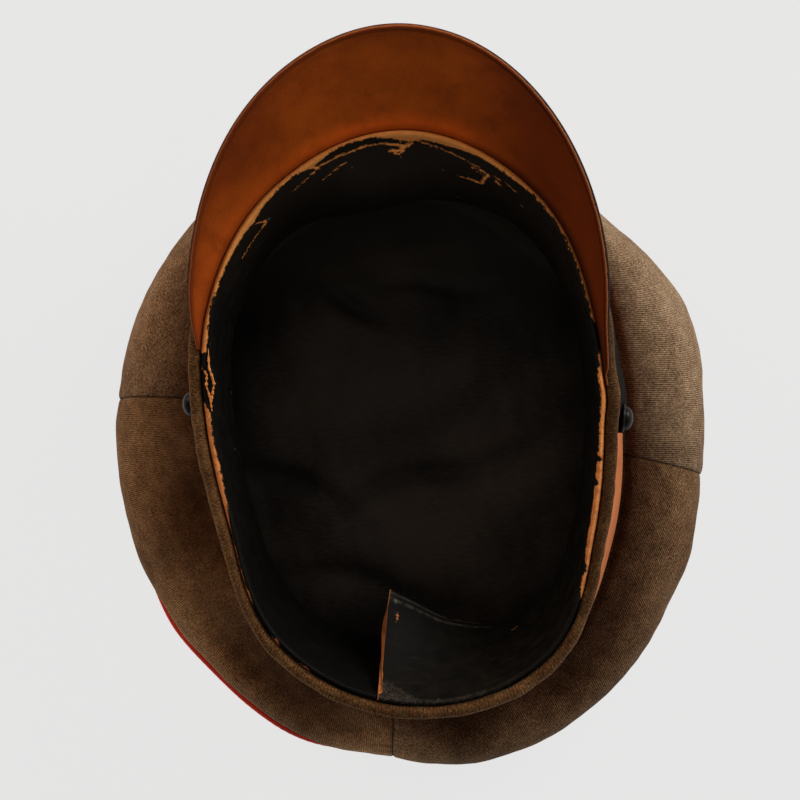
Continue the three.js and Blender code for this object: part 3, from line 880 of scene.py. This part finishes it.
# Bare streaks and spots away from the fold: the (bearing, distance, width) points each runs through.
STREAKS = {
    "hair": [(-27, 8, 0.5), (-23, 7, 0.4), (-19, 5.5, 0.8)],
    "knot": [(-20, 3.5, 1.3), (-19, 5.5, 1.2)],
    "long left": [(-19, 5, 0.8), (-12, 5, 0.9), (-6, 5, 0.6)],
    "upper finger": [(-6, 5, 0.5), (-1, 6.5, 1.2)],
    "lower finger": [(-4, 8, 0.4), (-1, 9, 1.3)],
    "bridge": [(-1, 7.5, 2), (1, 6, 1)],
    "drip": [(-4, 8, 0.5), (-2, 10, 0.8), (-1, 11.5, 0.4)],
    "long right": [(3, 5, 0.5), (10, 6.5, 0.6), (17, 8, 0.8)],
    "lower hair": [(14, 9, 0.4), (17, 9.5, 0.6)],
    "hook": [(18, 8.5, 1.4), (17, 14, 1.3), (14, 15, 1), (11, 15.5, 0.3)],
    "spots": [(19, 7.5, 0.5), (21, 7, 0.6)],
    "low spots": [(20, 9, 0.9), (22, 9.5, 0.6)],
    "slip": [(22, 6.5, 0.5), (25, 7, 0.6)],
    "far chip": [(27, 11, 0.9), (28, 11, 0.5)],
    "short left": [(-19, 11, 0.4), (-16, 9.5, 0.8), (-12, 8, 0.3)],
    "low left": [(-45, 10, 0.6), (-38, 10.5, 0.6), (-35, 10, 1.2)],
    "low join": [(-35, 9, 0.9), (-37, 6, 0.5)],
    "stitch": [(184, 36.5, 1), (184, 39.5, 1.2)],
    "worn end": [(153, 28, 1.2), (154, 27.5, 0.8)],
}

# Bearing, distance and size of each speck of lint.
LINT = [
    (-68, 5, 0.7), (-80, 22, 0.8), (-98, 18, 0.7), (-68, 23, 0.5), (-12, 11, 0.8), (-1, 16, 0.7),
    (5, 13, 0.5), (8, 15, 0.6), (-34, 10, 0.9), (12, 28, 0.7), (185, 44, 1.2),
]


def capsule(bearing, away, start, end):
    """Signed distance into a streak: half its width less the distance from its middle line."""
    x, y = (bearing - start[0]) * DEGREE, away - start[1]
    along_x, along_y = (end[0] - start[0]) * DEGREE, end[1] - start[1]
    t = np.clip((x * along_x + y * along_y) / (along_x ** 2 + along_y ** 2), 0, 1)
    return (start[2] + (end[2] - start[2]) * t) / 2 - np.hypot(x - t * along_x, y - t * along_y)


def flaking(bearing, away):
    """How far inside the bare leather a point is, in millimetres, and below 0 outside it."""
    along, nowhere = bearing / 0.6, -5
    ragged = wander(71, 1.3, along, away) * 0.22 + wander(72, 4, along, away) * 0.25
    wide = np.interp(bearing, FLAKED["at"], FLAKED["wide"])
    bare = np.where(wide > 0.05, wide - away + ragged * np.minimum(wide, 1), nowhere)
    near = bearing + wander(75, 2.5, along, away) * 0.12
    far = away + wander(76, 2.5, along, away) * 0.18
    for points in STREAKS.values():
        for start, end in zip(points, points[1:]):
            bare = np.maximum(bare, capsule(near, far, start, end))
    return np.maximum(bare, nowhere)


def dusting(bearing, away):
    """1 in the middle of a speck of lint, falling to 0 around it."""
    return sum(bell(np.hypot((bearing - at) * DEGREE, away - down), size / 2)
               for at, down, size in LINT)


def sweatband():
    """The strip from end to end, with more rows where its flakes are fine."""
    stops = [SWEAT_ENDS["upper"], 176, 42, -62, -170, SWEAT_ENDS["lower"]]
    steps = [34, 178, 280, 150, 36]
    runs = [np.linspace(a, b, n, endpoint=False) for a, b, n in zip(stops, stops[1:], steps)]
    bearing = np.append(np.concatenate(runs), stops[-1])[:, None]
    reach, height, away, free = sweatband_section(bearing)
    end = (SWEAT_ENDS["upper"] - bearing) * END_DEGREE
    # the upper end's cut edge wanders a little
    shape = np.sin(height / 4.2) + 0.6 * wander(73, 9, height)
    shape = shape + 1.7 * smooth((rim(bearing) - height) / 42)
    bearing = bearing + np.where(bearing > 176, (bearing - 176) / 10 * shape / END_DEGREE, 0)
    fields = {"bare": flaking(bearing, away), "away": away, "free": free,
              "lint": dusting(bearing, away), "end": end}
    return carried("sweat_leather", bearing, reach, height, fields=fields,
                   cloth=np.stack([np.radians(bearing) * 90, arc_along(reach, height)], -1))


# Torn strips of the fold's skin: bearing, distance in from the seam and lift above the fold.
STRANDS = {
    "torn_strip_outer": [(-74, 0.5, -0.6), (-76, 2.5, 0.5), (-79, 2, 0.7), (-82, 3, 0.4),
                         (-86, 3, -0.2)],
    "torn_strip_inner": [(-69, 3, -0.6), (-74, 3.5, 0.6), (-76, 4.5, 0.7), (-78, 5, 0.5),
                         (-81, 4, 0.3), (-84, 3, -0.1)],
}


def torn_strip(name, rows):
    """A thin ragged strip through a few points, rounded off."""
    at, inward, lift = between(np.array(rows).T, np.linspace(0, len(rows) - 1, 90), 0.6)
    path = placed(at, seam(at) - inward, rim(at) - 0.5 + lift)
    radius = 0.42 + 0.2 * wander(74, 1.6, path[:, 0], path[:, 1])
    fields = {"bare": 3, "away": 0, "end": 60, "free": 30, "lint": 0}
    return tube(name, path, radius, 7, fields, taper=0.5)


# ---------------------------------------------------------------- peak
TUCK_ROWS = 8


def peak_edge(bearing):
    """Reach where a ray at the bearing leaves the peak's ellipse."""
    sine, cosine = np.sin(np.radians(bearing)), np.cos(np.radians(bearing))
    wide, long = PEAK["half_width"], PEAK["half_length"]
    a = (sine / wide) ** 2 + (cosine / long) ** 2
    b = (cosine * PEAK["forwards"]) / long ** 2 - (sine * PEAK["sideways"]) / wide ** 2
    c = (PEAK["sideways"] / wide) ** 2 + (PEAK["forwards"] / long) ** 2 - 1
    reach = (b + np.sqrt(b * b - a * c)) / a + pushed(PEAK_PUSHES, bearing)
    return np.maximum(reach, seam(bearing) + 0.8)


def peak_line(bearing, short, count=64):
    """The peak's inner face: up between the band and the sweatband, then out along the slope with
    a little bow. Returns reach, height, the distance out along the slope and its full length."""
    far = np.abs(turn_between(PEAK["middle"], bearing)) / PEAK["half_span"]
    slope = np.radians(PEAK["slope"] + (PEAK["corner_slope"] - PEAK["slope"]) * far)
    root_r, root_z = seam(bearing) + 0.15, rim(bearing) - 0.6
    long = (peak_edge(bearing) - root_r) / np.cos(slope)
    share = bunched(count, 0.8)
    run = np.maximum(long - short, 0.2) * share
    bow = PEAK["bow"] * np.sin(math.pi * np.minimum(run / long, 1)) * smooth(long / 20)
    steep = 1.1 * np.exp(-run / 3.2) * smooth(long / 8)
    reach = root_r + run * np.cos(slope) + bow * np.sin(slope) - steep * np.sin(slope) * 0.4
    height = root_z + run * np.sin(slope) - bow * np.cos(slope) - steep * np.cos(slope) * 0.8
    x, y, _ = axes(bearing, reach)
    warp = wander(81, 45, x, y, waves=12) * 0.35
    height = height + warp * smooth(run / 12) * smooth((long - run) / 8)
    tuck_r = np.repeat(reach[:, :1], TUCK_ROWS, 1)
    tuck_z = height[:, :1] - PEAK["tuck"] * (1 - np.linspace(0, 0.94, TUCK_ROWS))
    run = np.concatenate([tuck_z * 0 - 1, run], 1)
    return np.concatenate([tuck_r, reach], 1), np.concatenate([tuck_z, height], 1), run, long


def peak_bearings(count=340):
    t = bunched(count, 0.45)[:, None]
    return PEAK["middle"] + PEAK["half_span"] * (2 * t - 1)


def thinned(long):
    """Less than 1 towards the peak's corners, where it has little length."""
    return 0.45 + 0.55 * smooth(long / 10)


def peak_layer(name, bearing, reach, height, long, run, edge):
    """One of the peak's layers, with fields for the distances from its root and its edge."""
    r, z, run, edge, b = wall(reach, height, PEAK_PLY * thinned(long), (run, edge, bearing))
    return carried(name, b, r, z, cloth=flat(b, r), fields={"run": run, "edge": edge})


def peak_underside():
    """The peak's inner layer, thickened outwards from its line."""
    bearing = peak_bearings()
    reach, height, run, long = peak_line(bearing, PEAK["binding"] + 0.1)
    # a groove is pressed in beside the edge
    edge = long - run + 0.1
    right_r, right_z = inwards(reach, height)
    groove = 0.3 * bell(edge - 1.95, 0.3) * smooth(long / 8)
    reach, height = reach + right_r * groove, height + right_z * groove
    return peak_layer("visor_underside", bearing, reach, height, long, run, edge)


def peak_upper():
    """The peak's outer layer: its line set off past the inner layer, with an upright tuck."""
    bearing = peak_bearings(220)
    reach, height, run, long = peak_line(bearing, PEAK["binding"] + 0.1, 40)
    right_r, right_z = inwards(reach, height)
    gap = PEAK_PLY * thinned(long) + 0.12
    reach, height = reach + right_r * gap, height + right_z * gap
    # the tuck hangs straight down from a little way out along the slope
    start = TUCK_ROWS + np.argmax(run[len(run) // 2, TUCK_ROWS:] > 1)
    low = height[:, [start]] - PEAK["tuck"] * (1 - np.arange(start) / start)
    reach = np.concatenate([reach[:, [start]] + low * 0, reach[:, start:]], 1)
    height = np.concatenate([low, height[:, start:]], 1)
    return peak_layer("visor_upper", bearing, reach, height, long, run, long - run)


def peak_binding():
    """A bead along the free edge: a rounded outline in the direction of the slope, over both
    layers, thinned towards the corners."""
    bearing = peak_bearings(420)
    reach, height, _, long = peak_line(bearing, PEAK["binding"], 40)
    out_r, out_z = reach[:, -1:] - reach[:, -3:-2], height[:, -1:] - height[:, -3:-2]
    length = np.hypot(out_r, out_z)
    out_r, out_z = out_r / length, out_z / length
    turn = np.linspace(math.pi * 0.62, -math.pi * 0.62, 20)
    size = thinned(long)
    out = (0.75 + 0.75 * np.cos(turn)) * size
    up = (-1.05 + 1.2 * np.sin(turn)) * size + 0.05
    r = reach[:, -1:] + out * out_r - up * out_z
    z = height[:, -1:] + out * out_z + up * out_r
    side = np.broadcast_to(np.sin(turn), r.shape)
    return carried("visor_edge", bearing, r, z, fields={"top": side})


# ---------------------------------------------------------------- strap and buttons
def strap_height(bearing):
    """Height of the strap's middle, with 1 mm of band left above it."""
    return band_top(bearing) - STRAP_WIDE / 2 - 1


def chin_strap():
    """A flat strap on the band beside the peak, its ends narrowed under the buttons."""
    left, right = BUTTONS["button_left"] + 4, BUTTONS["button_right"] - 4
    bearing = np.linspace(left, right, 420)[:, None]
    end = smooth((left - bearing) / 5) * smooth((bearing - right) / 5)
    half = STRAP_WIDE / 2 * (0.45 + 0.55 * end)
    share = np.linspace(-1, 1, 20)
    up = half * share
    middle = strap_height(bearing)
    x, y, _ = axes(bearing, 75)
    # its lower half stands off towards its left end, and a line is pressed in along each edge
    loose = 1.5 * smooth((bearing - 64) / 20) * smooth((0.9 - share) / 1.8)
    line = 0.16 * bell(np.abs(up) - half + 1.6, 0.35)
    lift = loose + 0.1 * wander(91, 14, x, y) - 0.4 * np.abs(share) ** 6 - line
    reach = band_face(bearing, middle + up) + STRAP_OFF + STRAP_THICK + lift
    r, z, b, across = wall(reach, middle + up, -STRAP_THICK * 0.8, (bearing, up / half))
    return carried("strap", b, r, z, fields={"across": across})


def facing(bearing, height):
    """The level direction that the band's outer face looks in, as a unit vector."""
    before, after = (placed(b, band_face(b, height), height) for b in (bearing - 2, bearing + 2))
    run = (after - before) / np.linalg.norm(after - before)
    return np.array([-run[1], run[0], 0])


def button(name, bearing):
    """A turned button: a flat back, a thin rolled flange, a groove and a dome."""
    radius, roll, sides = BUTTON_ACROSS / 2, 0.55, 48
    over, turn = np.linspace(0, math.pi, 9), np.linspace(0, math.pi / 2, 16)
    profile_r = np.concatenate([[0, radius * 0.8], radius - roll + roll * np.sin(over),
                                [radius * 0.86], radius * 0.84 * np.cos(turn)])
    profile_z = np.concatenate([[0, 0], roll - roll * np.cos(over),
                                [1.0], 1.15 + (BUTTON_TALL - 1.15) * np.sin(turn)])
    around = np.arange(sides)[:, None] * 2 * math.pi / sides
    height = float(strap_height(bearing))
    out = facing(bearing, height)
    side, up = np.array([-out[1], out[0], 0]), np.array([0, 0, 1])
    reach = float(band_face(bearing, height)) + STRAP_OFF + STRAP_THICK
    base = placed(bearing, reach, height) + out * (0.3 if bearing > 0 else -0.5)
    points = (base + profile_z[None, :, None] * out
              + (profile_r * np.cos(around))[..., None] * side
              + (profile_r * np.sin(around))[..., None] * up)
    quads, places = grid_faces(sides, profile_r.size, True, False)
    uvs = np.stack([np.append(around[:, 0], 2 * math.pi)[places[..., 0]] * radius,
                    profile_r[places[..., 1]]], -1)
    return build(name, points, quads, uvs)


# ---------------------------------------------------------------- finishes
def wool(name, dark, middle, light, pitch=0.78, ribs=1.0, fleck=1.0, sheen=0.08):
    """Brushed twill of mixed fibres: ribs along the second coordinate, broken up by the yarns, flecks of
    olive, rust and pale fibre, soft patches, and a darker colour along the seams. Where the painted
    light level is low, painted shade makes the colour darker and redder."""
    f = Finish(name, Specular_IOR_Level=0.08, Sheen_Weight=sheen, Sheen_Roughness=0.45,
               Sheen_Tint=(1, 0.75, 0.55))
    uv = f.cloth()
    rib = (uv.part(0) * (2 * math.pi / pitch) + f.noise(uv, 4) * 2.2).sine() * 0.5 + 0.5
    broken = f.noise(uv, 1.5, stretch=(1.9, 0.7, 1)).ramp(0.3, 0.7)
    grain = f.noise(uv, 0.85, detail=3, roughness=0.75)
    yarn = f.noise(uv, 1.3, detail=1, stretch=(2.2, 0.8, 1))
    patch, broad = f.noise(uv, 7, detail=3), f.noise(uv, 45)
    shade = (rib - 0.5) * (0.2 + broken * 0.5) * ribs + (grain - 0.5) * (2.1 * fleck)
    shade = shade + (yarn - 0.5) * 0.9 + (patch - 0.5) * 0.55 + (broad - 0.5) * 0.45 + 0.5
    stops = [(0.06, tint(*dark)), (0.5, tint(*middle)), (0.98, tint(*light))]
    olive = f.noise(uv, 2.6).ramp(0.5, 0.68)
    rust = f.noise(uv, 1.9, distortion=0.6).ramp(0.56, 0.72)
    hair = f.noise(uv, 0.55, detail=0).ramp(0.76, 0.86)
    colour = f.over(f.node("ValToRGB", {0: shade}, stops=stops), (olive * 0.28, 96, 88, 50),
                    (rust * 0.3 * fleck, 120, 62, 38), (hair * 0.4 * fleck, 186, 160, 128))
    # painted shade: the cloth's colour darkened and reddened
    deep = f.mix(1.0, colour, tint(150, 128, 108), "MULTIPLY")
    # the painted shade is mixed in where the painted light level is low
    fade = (f.field("fade") + (patch - 0.5) * 0.18).ramp(0.0, 1.1)
    colour = f.mix(fade, f.mix(1.0, deep, tint(160, 148, 138), "MULTIPLY"), colour)
    # darker within 0.8 mm of the seams
    colour = f.over(colour, ((1 - f.field("seam").ramp(0, 0.8)) * 0.55, 34, 22, 13))
    height = rib * (0.35 + broken * 0.3) * ribs + grain * 0.9 + yarn * 0.5
    return f.finished(colour, 0.95, height, 0.3, 0.9)


def plain_cloth(name, dark, light, pitch=0.5, depth=0.12):
    """Close plain weave: two crossed waves, with slubs and soft patches."""
    f = Finish(name, Specular_IOR_Level=0.25)
    uv, step = f.cloth(), 2 * math.pi / pitch
    weave = (uv.part(0) * step).sine() * (uv.part(1) * step).sine() * 0.5 + 0.5
    slub = f.noise(uv, 2.2, detail=3, stretch=(0.25, 1.6, 1))
    shade = weave * 0.25 + slub * 0.4 + f.noise(uv, 14, detail=4) * 0.6 - 0.12
    colour = f.mix(shade.ramp(0, 1), tint(*dark), tint(*light))
    return f.finished(colour, 0.7, weave * 0.6 + slub * 0.5, depth, 0.6)


def sateen(name):
    """Thin dark lining cloth: a fine weave, soft patches and a little dust, with painted light on the
    raised folds and towards the front, and painted shade towards the edge.
    """
    f = Finish(name, Specular_IOR_Level=0.2, Sheen_Weight=0.12, Sheen_Roughness=0.5)
    uv, faded = f.cloth(), f.field("faded")
    weave = (uv.part(0) * (2 * math.pi / 0.6)).sine() * (uv.part(1) * (2 * math.pi / 0.75)).sine()
    weave = weave * 0.5 + 0.5
    slub = f.noise(uv, 1.6, detail=3, stretch=(0.5, 1.6, 1))
    patch = f.noise(uv, 30, detail=3, roughness=0.4)
    dust = f.noise(uv, 0.7, detail=1).ramp(0.72, 0.8) * f.noise(uv, 12).ramp(0.4, 0.7)
    # the last term is painted light where the lining's folds rise
    shade = (patch - 0.5) * 1.3 + (slub - 0.5) * 0.7 + (weave - 0.5) * 0.3 + faded * 0.8
    colour = f.mix((shade + 0.15).ramp(0, 1.1), tint(35, 29, 24), tint(82, 69, 58))
    # over it: dust, painted shade towards the lining's edge, and painted light towards the front
    colour = f.over(colour, (dust * 0.5, 78, 68, 56), (faded.ramp(0, -0.45) * 0.65, 14, 12, 10),
                    (f.place().part(1).ramp(-0.03, -0.07) * 0.4, 90, 77, 62))
    return f.finished(colour, patch * 0.2 + 0.52, weave * 0.5 + slub * 0.6, 0.06, 0.5)


def sweat_finish():
    """Black-faced leather, flaked to its raw brown along the fold, at its cut end and in streaks.
    Beside the cut end it is creased and grey, and two painted highlights follow the free edge there."""
    f = Finish("sweatband_leather", Specular_IOR_Level=0.1)
    where, uv = f.place(), f.cloth()
    bare, away, end, free = (f.field(name) for name in ("bare", "away", "end", "free"))
    torn = f.noise(where, 0.9 * MM, detail=5, roughness=0.8, distortion=0.4) - 0.5
    drawn = f.noise(uv, 1.5, detail=4, roughness=0.7, stretch=(0.45, 1.5, 1)) - 0.5
    rough_edge = torn * 2.4 + drawn * 1.8
    cut = (end + torn * 0.8).ramp(0.45, 0.25)
    inside = (bare + rough_edge).ramp(-0.05, 0.12).most(cut)
    fibre = f.noise(where, 0.5 * MM, detail=4, roughness=0.75)
    blotch = f.noise(where, 2.6 * MM, detail=3)
    raw = f.mix((fibre * 1.1 + blotch * 0.7 - 0.4).ramp(0.1, 0.8), tint(168, 76, 28), tint(255, 168, 98))
    # painted light: front lightens the raw leather towards the front
    front = where.part(1).ramp(0.02, -0.06)
    rim_dark = (bare + rough_edge).ramp(0.6, 0.1) * (1 - cut)
    raw = f.over(raw, (front * (fibre.ramp(0.2, 0.7) * 0.4 + 0.5), 255, 166, 84),
                 (rim_dark * 0.35, 130, 58, 22), (cut * 0.4, 128, 62, 28))
    grain = f.cells(where, 0.55 * MM)
    crack = f.noise(where, 6 * MM, detail=5, roughness=0.6)
    scuff = f.noise(uv, 5, detail=5, roughness=0.7, stretch=(0.35, 1.5, 1)).ramp(0.55, 0.75)
    at_end = end.ramp(50, 30)
    # painted highlights: two light lines along the free edge, near the cut end
    painted_edge_highlights = free.ramp(0.1, 0.5) * free.ramp(1.3, 0.8) * 0.7 + free.ramp(2.1, 2.6) * free.ramp(4.0, 3.0)
    broken = f.noise(uv, 3, detail=3).ramp(0.3, 0.65)
    crease = f.noise(where, 1.8 * MM, detail=4, roughness=0.7, distortion=1.0)
    grey = (end.ramp(17, 0) * 8 + 2.2 - away + (blotch - 0.5) * 3).ramp(-0.8, 1.2) * at_end
    black = f.mix(crack.ramp(0.35, 0.75), tint(14, 13, 11), tint(26, 23, 19))
    black = f.over(black, (where.part(1).ramp(-0.03, -0.08) * 0.5, 42, 32, 22),
                   (end.ramp(430, 540) * 0.85, 6, 5, 4),
                   (scuff * (end.ramp(540, 430) * 0.3 + 0.05), 62, 56, 48),
                   (painted_edge_highlights * broken * at_end * 0.62, 92, 86, 76),
                   (grey * (crease.ramp(0.4, 0.7) * 0.75 + 0.06), 86, 76, 69),
                   (f.field("lint").ramp(0.2, 0.9) * 0.9, 118, 112, 102))
    roughness = f.node("Mix", {0: inside, 2: crack * 0.25 + 0.5, 3: 0.85}, data_type="FLOAT")
    height = grain * 0.4 + crack * 0.6 - inside * 1.2 + inside * fibre * 1.2 + grey * crease * 1.5
    return f.finished(f.mix(inside, black, raw), roughness, height, 0.25, 0.8)


def peak_finish():
    """Oiled brown leather with blots, spots and a dark pressed line beside its edge. Painted light makes
    it brightest by the fold; painted shade darkens it towards the wearer's left, towards its edge, on
    its outer part on the wearer's right, and along its root.
    """
    f = Finish("peak_leather", Specular_IOR_Level=0.06)
    where = f.place()
    run, edge, x = f.field("run"), f.field("edge"), where.part(0)
    broad = f.noise(where, 30 * MM, detail=3)
    stain = f.noise(where, 8 * MM, detail=5, roughness=0.6)
    fine = f.noise(where, 0.8 * MM, detail=4, roughness=0.75)
    shade = broad * 0.55 + stain * 0.45 + fine * 0.4 - 0.2
    # shy marks the wearer's left, where painted shade falls; middle marks the middle, where the painted
    # light by the fold is strongest
    shy, middle = x.ramp(-0.014, -0.05), x.size().ramp(0.05, 0.02)
    # painted light: brighter by the fold
    root_painted_light = run.ramp(9, 2) * (0.5 + stain * 0.6) * (1 - shy)
    blot = f.noise(where, 14 * MM, detail=4, roughness=0.55, distortion=0.5).ramp(0.52, 0.7)
    spot = f.noise(where, 1.6 * MM).ramp(0.72, 0.78) * f.noise(where, 20 * MM).ramp(0.5, 0.65)
    colour = f.over(f.mix(shade.ramp(0.2, 0.8), tint(136, 56, 11), tint(190, 88, 20)),
                    # painted light by the fold
                    (root_painted_light * (0.35 + middle * 0.55), 232, 98, 24),
                    # painted shade on the outer part, on the wearer's right
                    ((run.ramp(5, 20) * 0.5 + 0.12) * x.ramp(0.03, 0.06), 104, 40, 10),
                    # painted shade towards the wearer's left
                    (shy * 0.85, 104, 38, 5),
                    (blot * 0.3, 96, 38, 9),
                    # painted shade towards the edge
                    (edge.ramp(9, 2.5) * 0.3, 88, 34, 10),
                    # a pressed line beside the edge, darker on the wearer's left as painted shade
                    (edge.ramp(2.5, 2.1) * (0.35 + shy * 0.5), 60, 24, 9),
                    (spot * 0.6, 52, 22, 10),
                    # painted shadow along the root, widest on the wearer's left, and painted shade in
                    # the line where the root meets the fold
                    (run.ramp(3.2, 0.4) * (shy * 0.5 + 0.3), 66, 26, 10),
                    (run.ramp(0.6, 0.2) * 0.45, 52, 22, 10))
    height = f.cells(where, 0.7 * MM) * 0.5 + fine * 0.9 + stain * 0.5
    return f.finished(colour, 0.5 + stain * 0.2, height, 0.2, 0.7)


def lacquer():
    """Black patent: fine crazing, a little dust and soft waves in its shine."""
    f = Finish("peak_patent", Specular_IOR_Level=0.4, Coat_Roughness=0.12, Coat_Weight=0.5)
    where = f.place()
    line = f.cells(where, 2.2 * MM, feature="DISTANCE_TO_EDGE").ramp(0.05, 0.0)
    dust = f.noise(where, 5 * MM, detail=5, roughness=0.65)
    fine = f.noise(where, 0.6 * MM, detail=3)
    colour = f.over(tint(12, 9, 7), (dust.ramp(0.5, 0.9) * 0.2, 56, 46, 38), (line * 0.35, 46, 32, 22))
    return f.finished(colour, 0.2 + dust * 0.25, line * -0.5 + dust * 0.5 + fine * 0.1, 0.12, 0.5)


def bead_finish():
    """The peak's rolled edge: worn to pale leather along its crest, black outside on the
    wearer's left."""
    f = Finish("edge_leather", Specular_IOR_Level=0.06)
    where = f.place()
    grime = f.noise(where, 4 * MM, detail=5, roughness=0.65)
    fine = f.noise(where, 0.6 * MM, detail=3)
    shy = where.part(0).ramp(0.0, -0.05)
    top = f.field("top") + (grime - 0.5) * 0.9 + (fine - 0.5) * 0.5
    worn = top.ramp(-0.5, -0.1) * (1 - shy) + top.ramp(0.2, 0.6) * shy
    crest = top.ramp(0.1, 0.3) * top.ramp(0.75, 0.5)
    colour = f.over(f.mix(worn, tint(34, 19, 12), tint(116, 50, 18)), (crest * 0.7, 168, 104, 62),
                    (grime.ramp(0.6, 0.8) * 0.4, 58, 30, 16))
    return f.finished(colour, 0.5 + fine * 0.2, grime + fine * 0.3, 0.12, 0.5)


def strap_finish():
    """Dull black leather, creased, its edges rubbed brown."""
    f = Finish("strap_leather", Specular_IOR_Level=0.03)
    where = f.place()
    crease = f.noise(where, 2.5 * MM, detail=5, roughness=0.65)
    rub = (f.field("across").size() + (crease - 0.5) * 0.5).ramp(0.82, 1.0)
    colour = f.mix(crease.ramp(0.35, 0.8), tint(14, 12, 10), tint(30, 25, 21))
    roughness = 0.6 + f.noise(where, 12 * MM, detail=3) * 0.25
    return f.finished(f.over(colour, (rub * 0.5, 70, 52, 38)), roughness, crease, 0.15, 0.6)


def button_finish():
    """Black lacquer, hazed and finely scratched."""
    f = Finish("button_lacquer", Specular_IOR_Level=0.08, Coat_Weight=0.06, Coat_Roughness=0.06)
    where = f.place()
    haze = f.noise(where, 1.8 * MM, detail=5, roughness=0.65)
    scratch = f.noise(where, 0.9 * MM, stretch=(0.2, 1, 2.4))
    colour = f.mix(haze.ramp(0.4, 0.8), tint(14, 12, 10), tint(40, 34, 29))
    return f.finished(colour, 0.16 + haze * 0.2, haze + scratch * 0.3, 0.03, 0.5)


# ---------------------------------------------------------------- the cap
for node, row in PANELS.items():
    cloth = wool(node.replace("crown_panel", "wool"), *row["tints"], **row["weave"])
    side = dress(crown_panel(node.replace("crown_panel", "side"), row), cloth, "crown_wool", node)

top = dress(crown_top(), wool("wool_top", (62, 44, 28), (118, 92, 66), (170, 142, 112)),
            "crown_wool", "crown_top")
dress(piping(), plain_cloth("piping_wool", (186, 32, 13), (238, 60, 26), pitch=0.7),
      "piping_wool", "crown_piping")
band = dress(band_cloth(), plain_cloth("band_cloth", (160, 84, 44), (204, 122, 72), depth=0.1),
             "band_cloth", "band")
dress(welt(), wool("wool_welt", (38, 23, 12), (94, 61, 33), (150, 111, 72), pitch=1.1, ribs=0.3,
                   fleck=0.65, sheen=0.1), "welt_wool", "rim_welt")
dark_cloth = sateen("lining_sateen")
lining_sides = dress(lining_side(), dark_cloth, "lining_sateen", "lining_side")
lining_crown = dress(lining_tip(), dark_cloth, "lining_sateen", "lining_tip")
black_leather = sweat_finish()
sweat_leather = dress(sweatband(), black_leather, "sweatband_leather", "sweatband")
torn = [dress(torn_strip(name, rows), black_leather, "sweatband_leather")
        for name, rows in STRANDS.items()]
dress(peak_underside(), peak_finish(), "peak_leather", "peak_underside")
dress(peak_upper(), lacquer(), "peak_lacquer", "peak_upper")
dress(peak_binding(), bead_finish(), "peak_lacquer", "peak_edge_binding")
dress(chin_strap(), strap_finish(), "strap_leather", "chin_strap")
button_black = button_finish()
for node, bearing in BUTTONS.items():
    dress(button(node.replace("button", "knob"), bearing), button_black, "button_lacquer", node)


# ---------------------------------------------------------------- floor, lights and camera
FLOOR_RADIUS, FLOOR_SIDES = 8, 64
LIGHT_FAR, LIGHT_ACROSS = 2.0, 1.2
LIGHT_TARGET = (0, 0, 0.05)
CAMERA_PLACE, CAMERA_TARGET = (-0.0609, -0.0091, 1.2953), (0.0025, -0.0091, 0.085)
FOCAL_LENGTH, SENSOR = 150, 36
WHITE = (1, 1, 1)


def aimed(thing, place, target, up):
    """Puts an object at a place, its -Z axis towards the target and its +Y axis towards up."""
    back = np.array(place, float) - np.array(target, float)
    back /= np.linalg.norm(back)
    side = np.cross(up, back)
    side /= np.linalg.norm(side)
    rows = np.eye(4)
    rows[:3] = np.stack([side, np.cross(back, side), back, place], 1)
    thing.matrix_world = Matrix(rows.tolist())
    return thing


def soft_light(name, bearing, lift, power, colour):
    """A soft light at a bearing from the front and a height in degrees, facing the cap."""
    turn, up = math.radians(bearing), math.radians(lift)
    lamp = bpy.data.lights.new(name, "AREA")
    lamp.size, lamp.energy, lamp.color = LIGHT_ACROSS, power, colour
    place = (-math.sin(turn) * math.cos(up) * LIGHT_FAR, -math.cos(turn) * math.cos(up) * LIGHT_FAR,
             math.sin(up) * LIGHT_FAR + LIGHT_TARGET[2])
    return aimed(staged(name, lamp), place, LIGHT_TARGET, up=(0.1, 0.2, 1))


turn = np.arange(FLOOR_SIDES) * 2 * math.pi / FLOOR_SIDES
rim_points = np.stack([np.cos(turn), np.sin(turn), turn * 0], -1) * FLOOR_RADIUS
floor_mesh = bpy.data.meshes.new("floor")
floor_mesh.from_pydata(rim_points.tolist(), [], [list(range(FLOOR_SIDES))])
paper = Finish("paper", Roughness=0.95, Specular_IOR_Level=0.0, Emission_Strength=0.76,
               Emission_Color=WHITE)
speckle = paper.noise(paper.place(), 0.05, detail=3)
paper.set(Base_Color=paper.mix(speckle, (0.066,) * 3, (0.07,) * 3))
floor_mesh.materials.append(paper.material)
staged("floor", floor_mesh)

# the studio is white round the horizon and dark overhead
scene = bpy.context.scene
scene.world = bpy.data.worlds.new("studio")
scene.world.use_nodes = True
studio = Tree(scene.world.node_tree)
lift = studio.node("TexCoord", output="Generated").part(2)
glow = lift.ramp(0.16, 0.08) * 0.4 + lift.ramp(0.5, 0.15) * 0.18 + 0.16
background = scene.world.node_tree.nodes["Background"]
studio.feed(background.inputs["Strength"], glow)
studio.feed(background.inputs["Color"], WHITE)
scene.view_settings.view_transform = "Standard"

soft_light("warm_left", 312, 24, 13, (1, 0.74, 0.5))
soft_light("top_right", 54, 20, 32, (1, 0.97, 0.92))

lens = bpy.data.cameras.new("camera")
lens.lens, lens.sensor_width = FOCAL_LENGTH, SENSOR
lens.clip_start, lens.clip_end = 0.05, 30
scene.camera = aimed(staged("camera", lens), CAMERA_PLACE, CAMERA_TARGET, up=(0, -1, 0))
